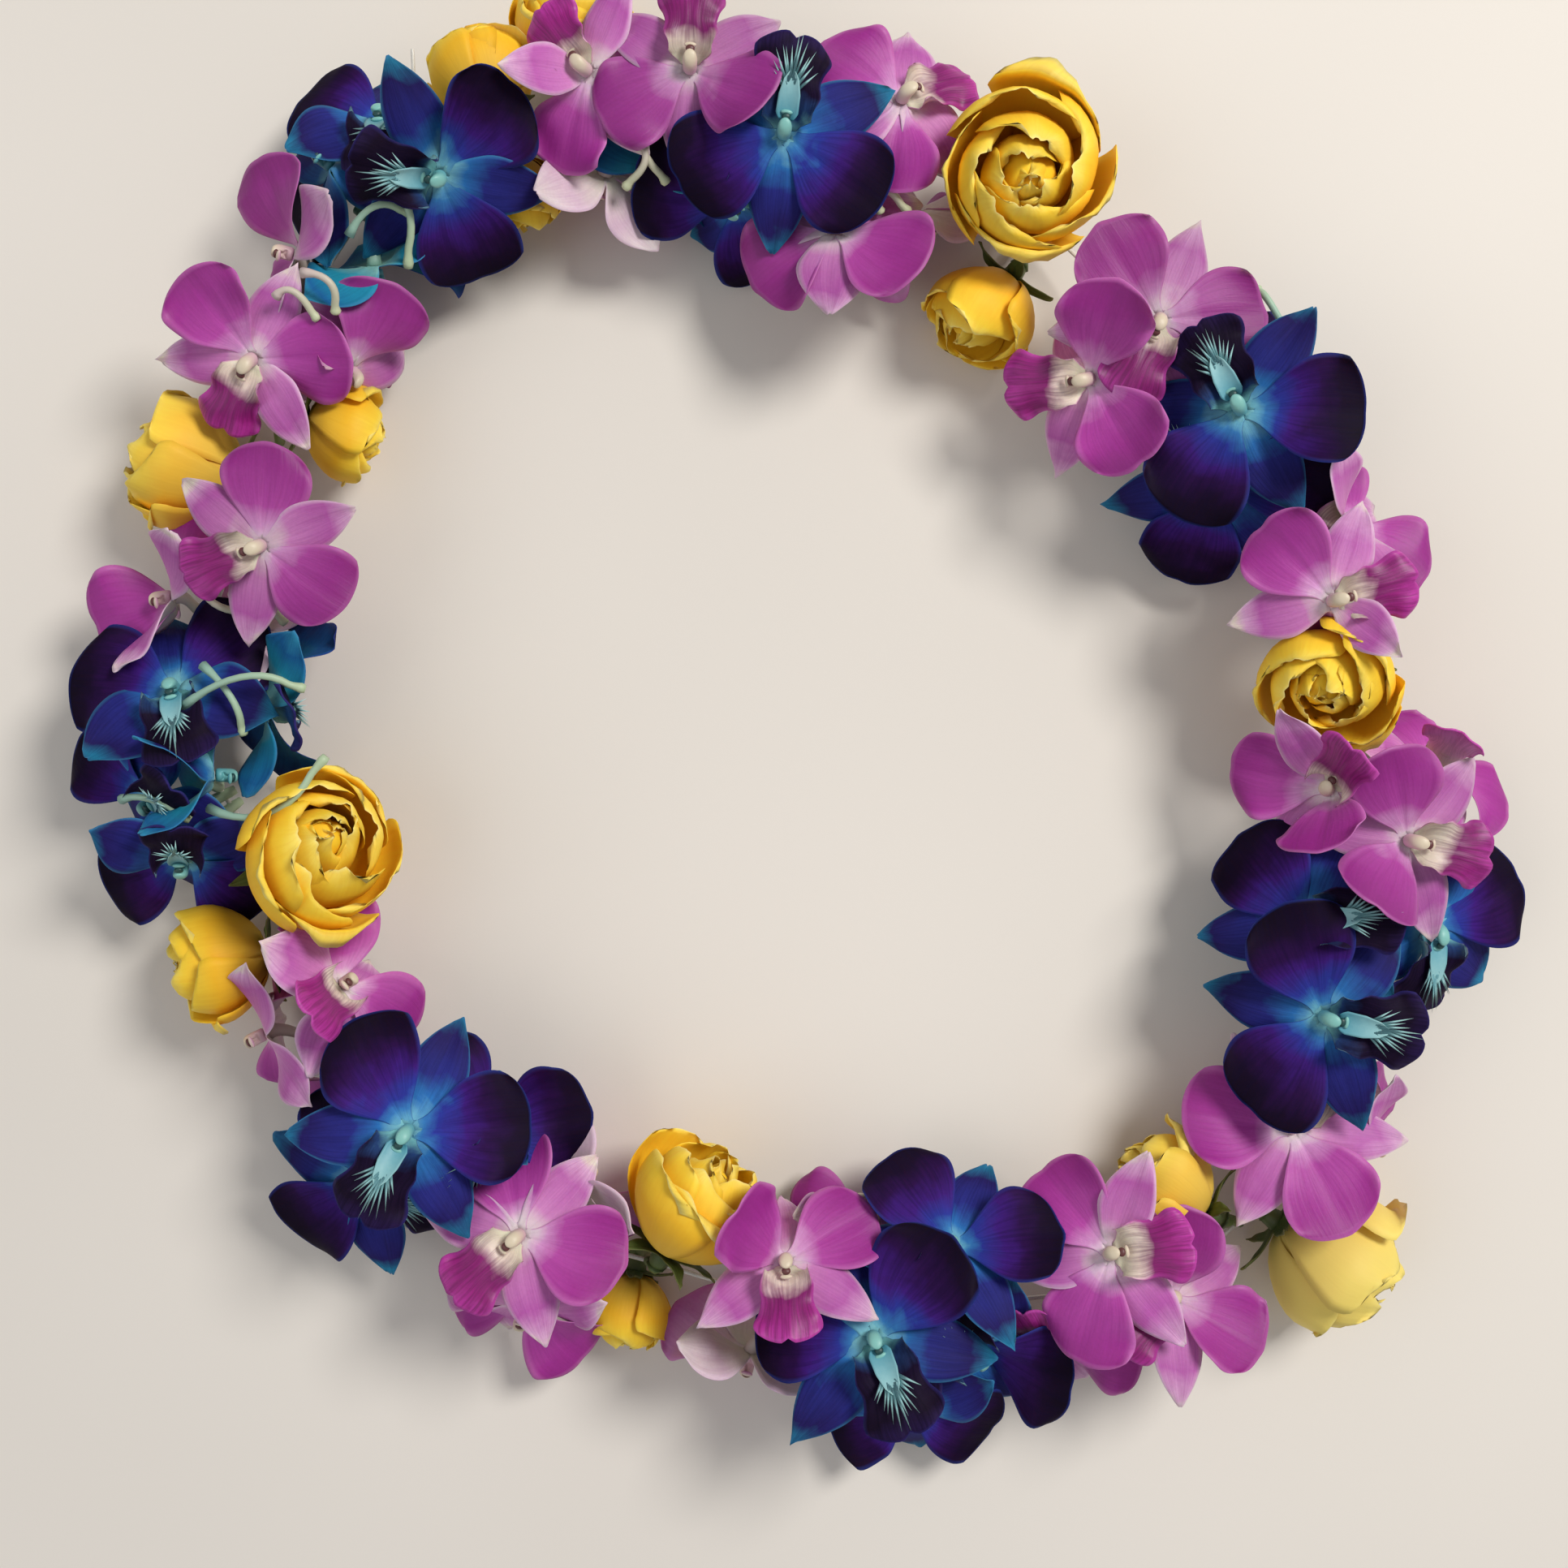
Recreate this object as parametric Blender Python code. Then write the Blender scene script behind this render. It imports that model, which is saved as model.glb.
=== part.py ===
"""A garland of orchid and rose blooms, strung on one closed thread and laid down as a ring.

Lengths are in millimetres until they reach a mesh. +Z is up, and the surface that the
garland lies on is z = 0. The ring's middle is the origin.
"""

import math
import random
from collections import namedtuple

import bpy
from mathutils import Matrix, Vector
from mathutils.bvhtree import BVHTree

MM = 0.001

# Driving dimensions of the ring
PIXEL = 0.24  # real size of one pixel of the photograph, at the blooms' middle height
MIDDLE_COLUMN = 985  # the ring's middle in the photograph, in pixels
MIDDLE_ROW = 884
READING_HEIGHT = 35.0  # the height above the surface at which PIXEL holds
EYE = Vector((0.0, 0.0, 532.0))  # the point above the ring that the poses were read from

# The thread that carries the blooms
THREAD_RADIUS = 0.8
THREAD_SIDES = 5
THREAD_POINTS = 64
BORE_RADIUS = 1.6  # the square hole that the thread runs through in each bloom's ovary
BORE_SIDES = 4
BUNCH_SPACING = 10.0  # the least distance along the thread between two bunches of ovaries
OVARY_SPACING = 4.6  # between two ovaries of one bunch, which have grown into each other
KNOT_RADIUS = 2.2
TAIL_RADIUS = 0.6

# Clearances
CLEARANCE = 0.45  # a blade keeps this far from every other piece
FLOOR_GAP = 0.4  # petals that hang low stop this far above the surface
CEILING = 66.0  # no petal stands higher than this
REST_CUT = 0.55  # how much of a resting petal's ridge the surface flattens

# An orchid, drawn at a span of 60
ORCHID_SPAN = 60.0
BLADE_THICKNESS = 0.8
BLADE_START = 1.1  # where the free part of a blade begins, outside its hub's flat
COLUMN_HEIGHT = 6.0
NECK_RADIUS = 1.6
OVARY_RADIUS = 3.2
OVARY_REACH = 3.4  # the pierced ovary reaches this far past the thread
OVARY_RISE = 4.2  # and begins this far before it

# A rose, drawn at a width of 46
ROSE_WIDTH = 46.0
ROSE_HEIGHT = 34.0
ROSE_MIDDLE = 16.0  # from the rose's base to the middle of its head
ROSE_SIDES = 10
ROSE_PETAL = 0.9  # thickness
ROSE_SPIRAL = 0.07  # one edge of a petal stands this share further out than its other edge
HIP_HEIGHT = 6.0
HIP_RADIUS = 4.4
HIP_OVARY = 3.6

Bloom = namedtuple("Bloom", "bunch kind column row height top lean tilt size")
Blade = namedtuple("Blade", "angle length stations pitch curl")
Seat = namedtuple("Seat", "point along")
Body = namedtuple("Body", "name low high tree")
Hub = namedtuple("Hub", "sides flat middle half_height")
Core = namedtuple("Core", "bloom name middle turn solid roots body order")

# What the blades grow from: the flats round an orchid's hub, and round a rose's calyx
ORCHID_HUB = Hub(6, 3.0, 0.0, 1.2)
ROSE_HUB = Hub(5, 3.8, -1.1, 0.8)

# The thread's route, clockwise from the top: columns and rows of the photograph, and heights
THREAD_ROUTE = (
    (850, 140, 24), (1050, 185, 20), (1160, 215, 12), (1265, 265, 9), (1340, 330, 15),
    (1410, 410, 22), (1510, 520, 24), (1600, 660, 22), (1655, 800, 6), (1680, 900, 14),
    (1680, 1000, 23), (1670, 1120, 24), (1635, 1260, 24), (1590, 1400, 22), (1520, 1510, 20),
    (1400, 1575, 23), (1260, 1600, 24), (1080, 1610, 24), (930, 1590, 22), (790, 1550, 20),
    (640, 1505, 22), (510, 1400, 24), (420, 1270, 22), (372, 1155, 10), (315, 1040, 12),
    (265, 960, 22), (245, 860, 24), (275, 720, 22), (340, 575, 11), (365, 410, 22),
    (470, 240, 24), (610, 165, 26), (720, 128, 24),
)

# The knot's place on the thread, and where its two ends point, with their heights
KNOT = (520, 205, 24)
TAILS = ((508, 60, 34), (480, 92, 30))

# Every bloom: the bunch it is strung in, its kind, where its middle is seen (column and row),
# its height, the direction its top sepal points (degrees, 0 right and 90 up the picture),
# the direction it leans to, how far it is tilted from facing the eye, and its span.
BLOOMS = (
    Bloom("a", "rose", 704, 38, 22, 0, 90, 78, 38),
    Bloom("a", "rose", 592, 105, 33, 40, 110, 142, 32),
    Bloom("a", "rose", 640, 235, 20, 80, 285, 92, 28),
    Bloom("b1", "purple", 725, 88, 44, 310, 150, 30, 60),
    Bloom("b2", "purple", 850, 85, 46, 268, 90, 15, 62),
    Bloom("b1", "purple", 745, 215, 26, 240, 250, 120, 60),
    Bloom("c1", "blue", 966, 165, 46, 262, 90, 5, 72),
    Bloom("c2", "blue", 905, 250, 30, 230, 250, 55, 68),
    Bloom("c2", "blue", 815, 215, 24, 180, 210, 110, 62),
    Bloom("d1", "purple", 1110, 125, 38, 200, 70, 40, 60),
    Bloom("d2", "purple", 1030, 285, 34, 266, 95, 45, 64),
    Bloom("d2", "purple", 1130, 270, 22, 300, 320, 105, 56),
    Bloom("e", "rose", 1265, 208, 38, 0, 60, 10, 50),
    Bloom("e", "rose", 1220, 375, 24, 0, 235, 85, 36),
    Bloom("f1", "purple", 1343, 466, 40, 5, 200, 15, 66),
    Bloom("f2", "purple", 1428, 394, 44, 65, 30, 12, 66),
    Bloom("g1", "blue", 1528, 505, 48, 298, 100, 8, 74),
    Bloom("g2", "blue", 1500, 600, 34, 310, 270, 25, 72),
    Bloom("g2", "blue", 1586, 455, 28, 50, 45, 100, 62),
    Bloom("h1", "purple", 1642, 740, 50, 193, 0, 8, 62),
    Bloom("h1", "purple", 1665, 645, 34, 40, 50, 70, 62),
    Bloom("i", "rose", 1640, 838, 38, 0, 250, 32, 41),
    Bloom("j1", "purple", 1638, 972, 42, 228, 200, 22, 60),
    Bloom("j2", "purple", 1735, 1035, 44, 168, 345, 22, 64),
    Bloom("j2", "purple", 1770, 945, 28, 60, 60, 90, 58),
    Bloom("k1", "blue", 1612, 1140, 42, 188, 150, 15, 72),
    Bloom("k2", "blue", 1632, 1252, 47, 170, 300, 12, 74),
    Bloom("k1", "blue", 1765, 1140, 34, 80, 330, 45, 70),
    Bloom("l1", "purple", 1592, 1390, 34, 240, 60, 10, 68),
    Bloom("l1", "purple", 1680, 1405, 24, 330, 330, 105, 56),
    Bloom("m", "rose", 1440, 1462, 26, 0, 150, 78, 36),
    Bloom("m", "rose", 1645, 1560, 28, 0, 325, 76, 46),
    Bloom("n1", "purple", 1368, 1545, 44, 188, 180, 10, 66),
    Bloom("n2", "purple", 1445, 1600, 38, 32, 30, 20, 60),
    Bloom("n2", "purple", 1300, 1655, 26, 290, 260, 60, 56),
    Bloom("o1", "blue", 1076, 1648, 48, 112, 90, 5, 76),
    Bloom("o2", "blue", 1172, 1535, 38, 65, 70, 25, 68),
    Bloom("o2", "blue", 1200, 1665, 28, 320, 310, 75, 70),
    Bloom("o1", "blue", 1120, 1735, 24, 270, 268, 62, 64),
    Bloom("p1", "purple", 968, 1555, 44, 92, 90, 18, 62),
    Bloom("p2", "purple", 925, 1665, 26, 250, 255, 115, 60),
    Bloom("p2", "purple", 1060, 1495, 26, 90, 90, 70, 54),
    Bloom("q", "rose", 850, 1485, 32, 0, 60, 68, 44),
    Bloom("q", "rose", 772, 1625, 22, 0, 262, 86, 28),
    Bloom("r1", "purple", 640, 1522, 44, 42, 200, 8, 66),
    Bloom("r2", "purple", 645, 1610, 26, 260, 260, 95, 62),
    Bloom("r2", "purple", 715, 1462, 26, 40, 50, 100, 58),
    Bloom("s1", "blue", 503, 1393, 48, 62, 200, 8, 74),
    Bloom("s2", "blue", 600, 1395, 36, 60, 30, 58, 70),
    Bloom("s2", "blue", 450, 1455, 30, 160, 235, 35, 68),
    Bloom("t1", "purple", 330, 1272, 30, 200, 205, 100, 60),
    Bloom("t1", "purple", 485, 1315, 22, 300, 310, 100, 56),
    Bloom("t2", "purple", 420, 1215, 38, 40, 35, 60, 64),
    Bloom("u", "rose", 388, 1053, 38, 0, 20, 28, 48),
    Bloom("u", "rose", 278, 1186, 24, 0, 190, 98, 36),
    Bloom("v1", "blue", 215, 850, 40, 100, 120, 40, 70),
    Bloom("v1", "blue", 330, 865, 30, 20, 5, 80, 66),
    Bloom("v2", "blue", 262, 955, 34, 10, 0, 95, 66),
    Bloom("v2", "blue", 190, 985, 28, 210, 220, 70, 64),
    Bloom("v2", "blue", 225, 1060, 30, 275, 265, 65, 62),
    Bloom("w1", "purple", 321, 672, 48, 22, 200, 10, 60),
    Bloom("w2", "purple", 215, 735, 32, 170, 185, 100, 64),
    Bloom("w2", "purple", 300, 780, 22, 270, 300, 105, 56),
    Bloom("x", "rose", 215, 568, 32, 0, 165, 72, 42),
    Bloom("x", "rose", 422, 528, 22, 0, 340, 90, 30),
    Bloom("y1", "purple", 312, 442, 40, 65, 200, 25, 62),
    Bloom("y2", "purple", 430, 455, 32, 0, 320, 60, 62),
    Bloom("y2", "purple", 365, 315, 34, 150, 165, 95, 66),
    Bloom("z1", "blue", 540, 215, 44, 350, 300, 25, 72),
    Bloom("z2", "blue", 472, 150, 30, 90, 105, 60, 68),
    Bloom("z2", "blue", 412, 208, 34, 130, 140, 100, 70),
    Bloom("z2", "blue", 462, 328, 28, 275, 280, 95, 66),
)

# The roses that the garland rests on, each on one petal's ridge, by bunch and place in it
RESTING = ("e2", "m2", "q2", "x1")
RIDGE_SLOPE = 11.0  # degrees that an outer petal's ridge widens by, so a resting rose lifts its face

# An orchid's six blades by the direction each grows in, with the half width at shares of its length.
# Blooms seen from the side have plainer petals, and those turned to the surface leave out their lip.
PETAL_STATIONS = ((0.35, 8.0), (0.72, 11.2), (1.0, 4.6))
PLAIN_STATIONS = PETAL_STATIONS[1:]
SIDE_ON, FACE_DOWN = 40, 95  # tilts
LIP_ANGLE = 270
SEPAL_STATIONS = ((0.5, 5.8), (1.0, 0.0))
LIP_STATIONS = ((0.5, 7.0), (1.0, 3.4))
ORCHID_BLADES = (
    Blade(30, 26.5, PETAL_STATIONS, 5, -14),
    Blade(90, 26.5, SEPAL_STATIONS, -4, -12),
    Blade(150, 26.5, PETAL_STATIONS, 5, -14),
    Blade(210, 27.0, SEPAL_STATIONS, -2, -16),
    Blade(LIP_ANGLE, 19.0, LIP_STATIONS, 30, -46),
    Blade(330, 27.0, SEPAL_STATIONS, -2, -16),
)
ROSE_BLADES = tuple(Blade(72 * k, 15.0, ((0.45, 2.6), (1.0, 0.0)), 12, -34) for k in range(5))

# A rose's petals: the share of its height, the share of its half width and the half angle
# that a petal wraps, from the root up
ROSE_OUTER = ((0.45, 0.86, 36), (0.97, 1.02, 29))
ROSE_INNER = ((1.03, 0.56, 34),)
ROSE_BUD = ((0.72, 0.28), (1.0, 0.2))

# Bends that a blade tries, in degrees, until it is clear, then turns to one side, then reaches
BENDS = (0, -6, 6, -12, 12, -18, 18, -25, 25, -32, 32, -40, 40, -48, 48, -57, 57, 66, -66, 75)
REACHES = (1.0, 0.86, 0.72, 0.58, 0.44, 0.32, 0.22)
SIDESTEPS = (0, 8, -8, 16, -16)

# Ways for a neck to reach the thread: how straight it leaves, and from which side it arrives
PULLS = (0.35, 0.2, 0.55)
SWINGS = (0, 25, -25, 50, -50, 80, -80, 110, -110, 150, -150, 180)

COLOURS = {
    "purple": (0.42, 0.06, 0.37),
    "blue": (0.02, 0.06, 0.25),
    "rose": (0.86, 0.57, 0.04),
    "calyx": (0.09, 0.13, 0.03),
    "thread": (0.75, 0.74, 0.70),
}
ROUGHNESS = {"purple": 0.5, "blue": 0.42, "rose": 0.6, "calyx": 0.55, "thread": 0.3}


def spot_of(column, row, height):
    """The point at this height that is seen from the eye at this column and row."""
    shrink = PIXEL * (EYE.z - height) / (EYE.z - READING_HEIGHT)
    return Vector(((column - MIDDLE_COLUMN) * shrink, (MIDDLE_ROW - row) * shrink, height))


def blades_of(bloom):
    """A bloom's blades, with None for one that it leaves out."""
    if bloom.kind == "rose":
        return ROSE_BLADES
    blades = ORCHID_BLADES
    if bloom.tilt >= SIDE_ON:
        blades = [b._replace(stations=PLAIN_STATIONS) if b.stations is PETAL_STATIONS else b for b in blades]
    if bloom.tilt >= FACE_DOWN:
        blades = [None if b.angle == LIP_ANGLE else b for b in blades]
    return blades


def pose_of(bloom):
    """(middle, turn) of a bloom: it faces its own +Z, and its top sepal points to its +Y."""
    middle = spot_of(bloom.column, bloom.row, bloom.height)
    lean = math.radians(bloom.lean)
    hinge = Vector((-math.sin(lean), math.cos(lean), 0.0))
    to_eye = Vector((0.0, 0.0, 1.0)).rotation_difference(EYE - middle).to_matrix()
    tilted = Matrix.Rotation(math.radians(bloom.tilt), 3, hinge)
    return middle, to_eye @ tilted @ Matrix.Rotation(math.radians(bloom.top - 90), 3, "Z")


def resting_turn(bloom):
    """The turn of a rose that lies with the ridge of one outer petal level along the surface."""
    lean, lift = math.radians(bloom.lean), math.radians(RIDGE_SLOPE)
    axis = Vector((math.cos(lean) * math.cos(lift), math.sin(lean) * math.cos(lift), math.sin(lift)))
    down = Vector((0.0, 0.0, -1.0))
    down = (down - axis * down.dot(axis)).normalized()
    ridge = 2 * math.pi / ROSE_SIDES
    own_down = Vector((math.cos(ridge), math.sin(ridge), 0.0))
    own_axis = Vector((0.0, 0.0, 1.0))
    own = Matrix((own_down, own_axis.cross(own_down), own_axis))
    return Matrix((down, axis.cross(down), axis)).transposed() @ own


class Solid:
    """The corners and faces of one closed body, built ring by ring."""

    def __init__(self):
        self.points = []
        self.faces = []

    def ring(self, points):
        first = len(self.points)
        self.points += [Vector(p) for p in points]
        return list(range(first, len(self.points)))

    def join(self, ring, following):
        """The wall between two rings of the same size, each quad split the same way."""
        count = len(ring)
        for i in range(count):
            j = (i + 1) % count
            self.faces.append((ring[i], ring[j], following[j]))
            self.faces.append((ring[i], following[j], following[i]))

    def close(self, ring):
        self.faces += [(ring[0], ring[i], ring[i + 1]) for i in range(1, len(ring) - 1)]

    def fan(self, ring, tip):
        top = self.ring([tip])[0]
        self.faces += [(ring[i], ring[(i + 1) % len(ring)], top) for i in range(len(ring))]

    def corners(self, ring):
        return [self.points[i] for i in ring]

    def lowest(self):
        return min(p.z for p in self.points)

    def highest(self):
        return max(p.z for p in self.points)

    def body(self, name):
        low = Vector(min(p[i] for p in self.points) for i in range(3))
        high = Vector(max(p[i] for p in self.points) for i in range(3))
        return Body(name, low, high, BVHTree.FromPolygons(self.points, self.faces))


def touched(body, others):
    """The name of the first of the others that touches this body, or None."""
    for other in others:
        apart = any(body.low[i] > other.high[i] or other.low[i] > body.high[i] for i in range(3))
        if not apart and body.tree.overlap(other.tree):
            return other.name
    return None


def polygon(sides, flat, z, first_angle=0.0):
    """A ring of corners whose flats are this far from the middle, its first flat at first_angle."""
    step = 2 * math.pi / sides
    reach = flat / math.cos(step / 2)
    start = math.radians(first_angle) - step / 2
    return [
        Vector((reach * math.cos(start + i * step), reach * math.sin(start + i * step), z))
        for i in range(sides)
    ]


def round_ring(point, direction, radius, sides, reference):
    """A ring of corners round a line, its first corner on the side of the reference."""
    first = (reference - direction * reference.dot(direction)).normalized()
    second = direction.cross(first)
    step = 2 * math.pi / sides
    return [
        point + (first * math.cos(i * step) + second * math.sin(i * step)) * radius
        for i in range(sides)
    ]


# The thread


def loop_point(points, position):
    """The point of a smooth closed curve through these points, at a position counted in points."""
    i = math.floor(position)
    t = position - i
    a, b, c, d = (points[(i + k) % len(points)] for k in (-1, 0, 1, 2))
    return (b * 2 + (c - a) * t + (a * 2 - b * 5 + c * 4 - d) * t**2 + (b * 3 - a - c * 3 + d) * t**3) / 2


def thread_line():
    """Evenly spaced points along the closed thread."""
    route = [spot_of(*place) for place in THREAD_ROUTE]
    fine = 40
    walk = [loop_point(route, k / fine) for k in range(len(route) * fine + 1)]
    steps = [(walk[k + 1] - walk[k]).length for k in range(len(walk) - 1)]
    spacing = sum(steps) / THREAD_POINTS
    line = []
    gone = 0.0
    for point, step in zip(walk, steps):
        if gone >= len(line) * spacing - 1e-6 and len(line) < THREAD_POINTS:
            line.append(point)
        gone += step
    return line


def thread_tube(line, radius, sides):
    solid = Solid()
    up = Vector((0.0, 0.0, 1.0))
    rings = []
    for i, point in enumerate(line):
        along = (line[(i + 1) % len(line)] - line[i - 1]).normalized()
        rings.append(solid.ring(round_ring(point, along, radius, sides, up)))
    for i, ring in enumerate(rings):
        solid.join(ring, rings[(i + 1) % len(rings)])
    return solid


def tail_tube(start, end):
    """One loose end of the thread, from inside the knot."""
    solid = Solid()
    bow = (start + end) / 2 + Vector((0.0, 0.0, 3.0))
    ring = solid.ring(round_ring(start, (bow - start).normalized(), TAIL_RADIUS, 5, Vector((1.0, 0.0, 0.0))))
    solid.close(ring[::-1])
    for before, point in ((start, bow), (bow, end)):
        along = (point - before).normalized()
        following = solid.ring(round_ring(point, along, TAIL_RADIUS, 5, Vector((1.0, 0.0, 0.0))))
        solid.join(ring, following)
        ring = following
    solid.close(ring)
    return solid


def knot_ball(middle):
    """The knot, an eight-sided bead round the thread."""
    solid = Solid()
    low = solid.ring(p + middle for p in polygon(8, KNOT_RADIUS * 0.6, -KNOT_RADIUS * 0.8))
    waist = solid.ring(p + middle for p in polygon(8, KNOT_RADIUS, 0.0))
    high = solid.ring(p + middle for p in polygon(8, KNOT_RADIUS * 0.6, KNOT_RADIUS * 0.8))
    solid.close(low[::-1])
    solid.join(low, waist)
    solid.join(waist, high)
    solid.close(high)
    return solid


def seat_at(line, length, position):
    """The seat this far along the thread, on the straight run between two of its points."""
    share = (position % length) / length * len(line)
    i = int(share) % len(line)
    start, end = line[i], line[(i + 1) % len(line)]
    return Seat(start.lerp(end, share - int(share)), (end - start).normalized())


def nearest_position(line, length, spot):
    """How far along the thread it passes nearest this spot, seen from above."""
    steps = 4 * len(line)
    places = [k * length / steps for k in range(steps)]
    return min(places, key=lambda s: (seat_at(line, length, s).point - spot).xy.length)


def bunches_of(blooms):
    """{bunch: [bloom]} in the order of the table."""
    bunches = {}
    for bloom in blooms:
        bunches.setdefault(bloom.bunch, []).append(bloom)
    return bunches


def side_of(seat, bloom):
    """How far a bloom lies past its bunch's seat, in the thread's direction."""
    return (spot_of(bloom.column, bloom.row, bloom.height) - seat.point).dot(seat.along)


def strung(line, bunches):
    """({bloom: Seat}, knot's seat): each bunch is pierced where the thread passes nearest it, and
    bunches that would crowd one another are slid apart along the thread."""
    length = sum((line[i] - line[i - 1]).length for i in range(len(line)))
    wanted = {"knot": nearest_position(line, length, spot_of(*KNOT))}
    count = {"knot": 1}
    for bunch, blooms in bunches.items():
        middle = sum((spot_of(b.column, b.row, b.height) for b in blooms), Vector()) / len(blooms)
        wanted[bunch] = nearest_position(line, length, middle)
        count[bunch] = len(blooms)
    order = sorted(wanted, key=wanted.get)
    places = [wanted[bunch] for bunch in order]
    for _ in range(300):
        for i, bunch in enumerate(order):
            j = (i + 1) % len(order)
            gap = places[j] - places[i] + (length if j == 0 else 0.0)
            widths = (count[bunch] - 1 + count[order[j]] - 1) * OVARY_SPACING / 2
            push = max(0.0, widths + BUNCH_SPACING - gap) / 2
            places[i] -= push
            places[j] += push
    seats = {}
    for bunch, place in zip(order, places):
        blooms = bunches.get(bunch, [])
        seat = seat_at(line, length, place)
        for k, bloom in enumerate(sorted(blooms, key=lambda b: side_of(seat, b))):
            along = place + (k - (len(blooms) - 1) / 2) * OVARY_SPACING
            seats[bloom] = seat_at(line, length, along)
    return seats, seat_at(line, length, places[order.index("knot")])


# Blades


def blade_sections(hub, blade, scale, bend, aside, reach, twist, margin=0.0):
    """The corners of each section of a blade, in the bloom's own axes. The first section lies just
    outside the hub's flat, and the others follow as the blade bends and curls."""
    angle = math.radians(blade.angle + aside)
    outward = Vector((math.cos(angle), math.sin(angle), 0.0))
    side = Vector((-math.sin(angle), math.cos(angle), 0.0))
    up = Vector((0.0, 0.0, 1.0))
    length = blade.length * scale * reach
    middle = outward * hub.flat + up * hub.middle
    sections = []
    before = 0.0
    for share, half_width in ((BLADE_START / length, None),) + blade.stations:
        slope = math.radians(blade.pitch + bend + blade.curl * (share + before) / 2)
        middle = middle + (outward * math.cos(slope) + up * math.sin(slope)) * length * (share - before)
        here = math.radians(blade.pitch + bend + blade.curl * share)
        normal = up * math.cos(here) - outward * math.sin(here)
        roll = math.radians(twist * share)
        across = side * math.cos(roll) + normal * math.sin(roll)
        normal = normal * math.cos(roll) - side * math.sin(roll)
        if half_width is None:
            half = side * (hub.flat * math.tan(math.pi / hub.sides) + margin)
            thick = up * (hub.half_height + margin)
        else:
            half = across * (half_width * scale * math.sqrt(reach) + margin)
            thick = normal * (BLADE_THICKNESS / 2 + margin)
        if half_width == 0.0:
            corners = (-thick, thick)
        else:
            corners = (-half - thick, half - thick, half + thick, -half + thick)
        sections.append([middle + corner for corner in corners])
        before = share
    return sections


def add_blade(solid, ring, sections):
    """Grows a blade from a ring of four corners out to its tip."""
    for section in sections:
        following = solid.ring(section)
        if len(following) == 2:
            low, high = following
            solid.faces += [(ring[0], ring[1], low), (ring[2], ring[3], high)]
            solid.faces += [(ring[1], ring[2], high), (ring[1], high, low)]
            solid.faces += [(ring[3], ring[0], low), (ring[3], low, high)]
            return
        solid.join(ring, following)
        ring = following
    solid.close(ring)


def put(sections, middle, turn):
    return [[turn @ corner + middle for corner in section] for section in sections]


def blade_alone(sections):
    """A blade as a body of its own, for finding what it touches."""
    solid = Solid()
    first = solid.ring(sections[0])
    solid.close(first[::-1])
    add_blade(solid, first, sections[1:])
    return solid


def bend_clear(core, blade, root, scale, others, siblings):
    """The placed sections of a blade from its root on the hub, and the body of its free part. It is
    bent no further than clears the other pieces and its own bloom, and is shortened where it must."""
    hub = ROSE_HUB if core.bloom.kind == "rose" else ORCHID_HUB
    middle, turn = core.middle, core.turn
    luck = random.Random(core.bloom.column * 1000 + blade.angle)
    twist = luck.uniform(-9, 9)
    own_bend = luck.uniform(-5, 5)
    for reach in REACHES:
        for aside in SIDESTEPS:
            for bend in BENDS:
                choice = (hub, blade, scale, bend + own_bend, aside, reach, twist)
                wide = blade_alone(put(blade_sections(*choice, CLEARANCE), middle, turn))
                if wide.lowest() < FLOOR_GAP or wide.highest() > CEILING:
                    continue
                sections = put(blade_sections(*choice), middle, turn)
                free, whole = blade_alone(sections), [root] + sections[1:]
                if not (touched(wide.body("blade"), others)
                        or touched(blade_alone(whole).body("blade"), others)
                        or touched(free.body("blade"), siblings)):
                    return whole, free
    return None, None


# Hubs, necks and ovaries


def neck_rings(start_ring, facing, seat, way, ovary, margin):
    """Rings of the neck that runs from a bloom's back to the thread and swells to the ovary."""
    pull, swing = way
    start = sum(start_ring, Vector()) / len(start_ring)
    away = start - seat.point
    away = away - seat.along * away.dot(seat.along)
    if away.length < 1.0:
        away = Vector((0.0, 0.0, 1.0))
    away = Matrix.Rotation(math.radians(swing), 3, seat.along) @ away.normalized()
    arrival = seat.point + away * OVARY_RISE
    span = (start - arrival).length * pull
    leaving, arriving = start - facing * span, arrival + away * span
    stops = (
        (
            start * 0.125 + leaving * 0.375 + arriving * 0.375 + arrival * 0.125,
            (arrival + arriving - leaving - start).normalized(),
            NECK_RADIUS + margin,
        ),
        (arrival, -away, ovary * 0.8 + margin),
        (seat.point - away * OVARY_REACH, -away, ovary + margin),
    )
    rings = []
    reference = start_ring[0] - start
    for point, direction, radius in stops:
        ring = round_ring(point, direction, radius, len(start_ring), reference)
        reference = ring[0] - point
        rings.append(ring)
    return rings


def add_neck(solid, ring, facing, seat, way, ovary, margin):
    """Grows the neck and the ovary. Measured with a margin, they stop short of the thread."""
    rings = neck_rings(solid.corners(ring), facing, seat, way, ovary, margin)
    for corners in rings[:-1] if margin else rings:
        following = solid.ring(corners)
        solid.join(ring, following)
        ring = following
    solid.close(ring)


def orchid_core(middle, turn, seat, way, margin=0.0):
    """(solid, roots): hub, column, neck and ovary, and the six flats that the blades grow from."""
    solid = Solid()
    depth = ORCHID_HUB.half_height + margin

    def tier(z):
        return solid.ring(turn @ p + middle for p in polygon(6, ORCHID_HUB.flat + margin, z, 30))

    low, high = tier(-depth), tier(depth)
    solid.fan(high, turn @ Vector((0.0, -1.6, depth + COLUMN_HEIGHT)) + middle)
    add_neck(solid, low[::-1], turn @ Vector((0.0, 0.0, 1.0)), seat, way, OVARY_RADIUS, margin)
    return solid, [[low[i], low[(i + 1) % 6], high[(i + 1) % 6], high[i]] for i in range(6)]


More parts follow.
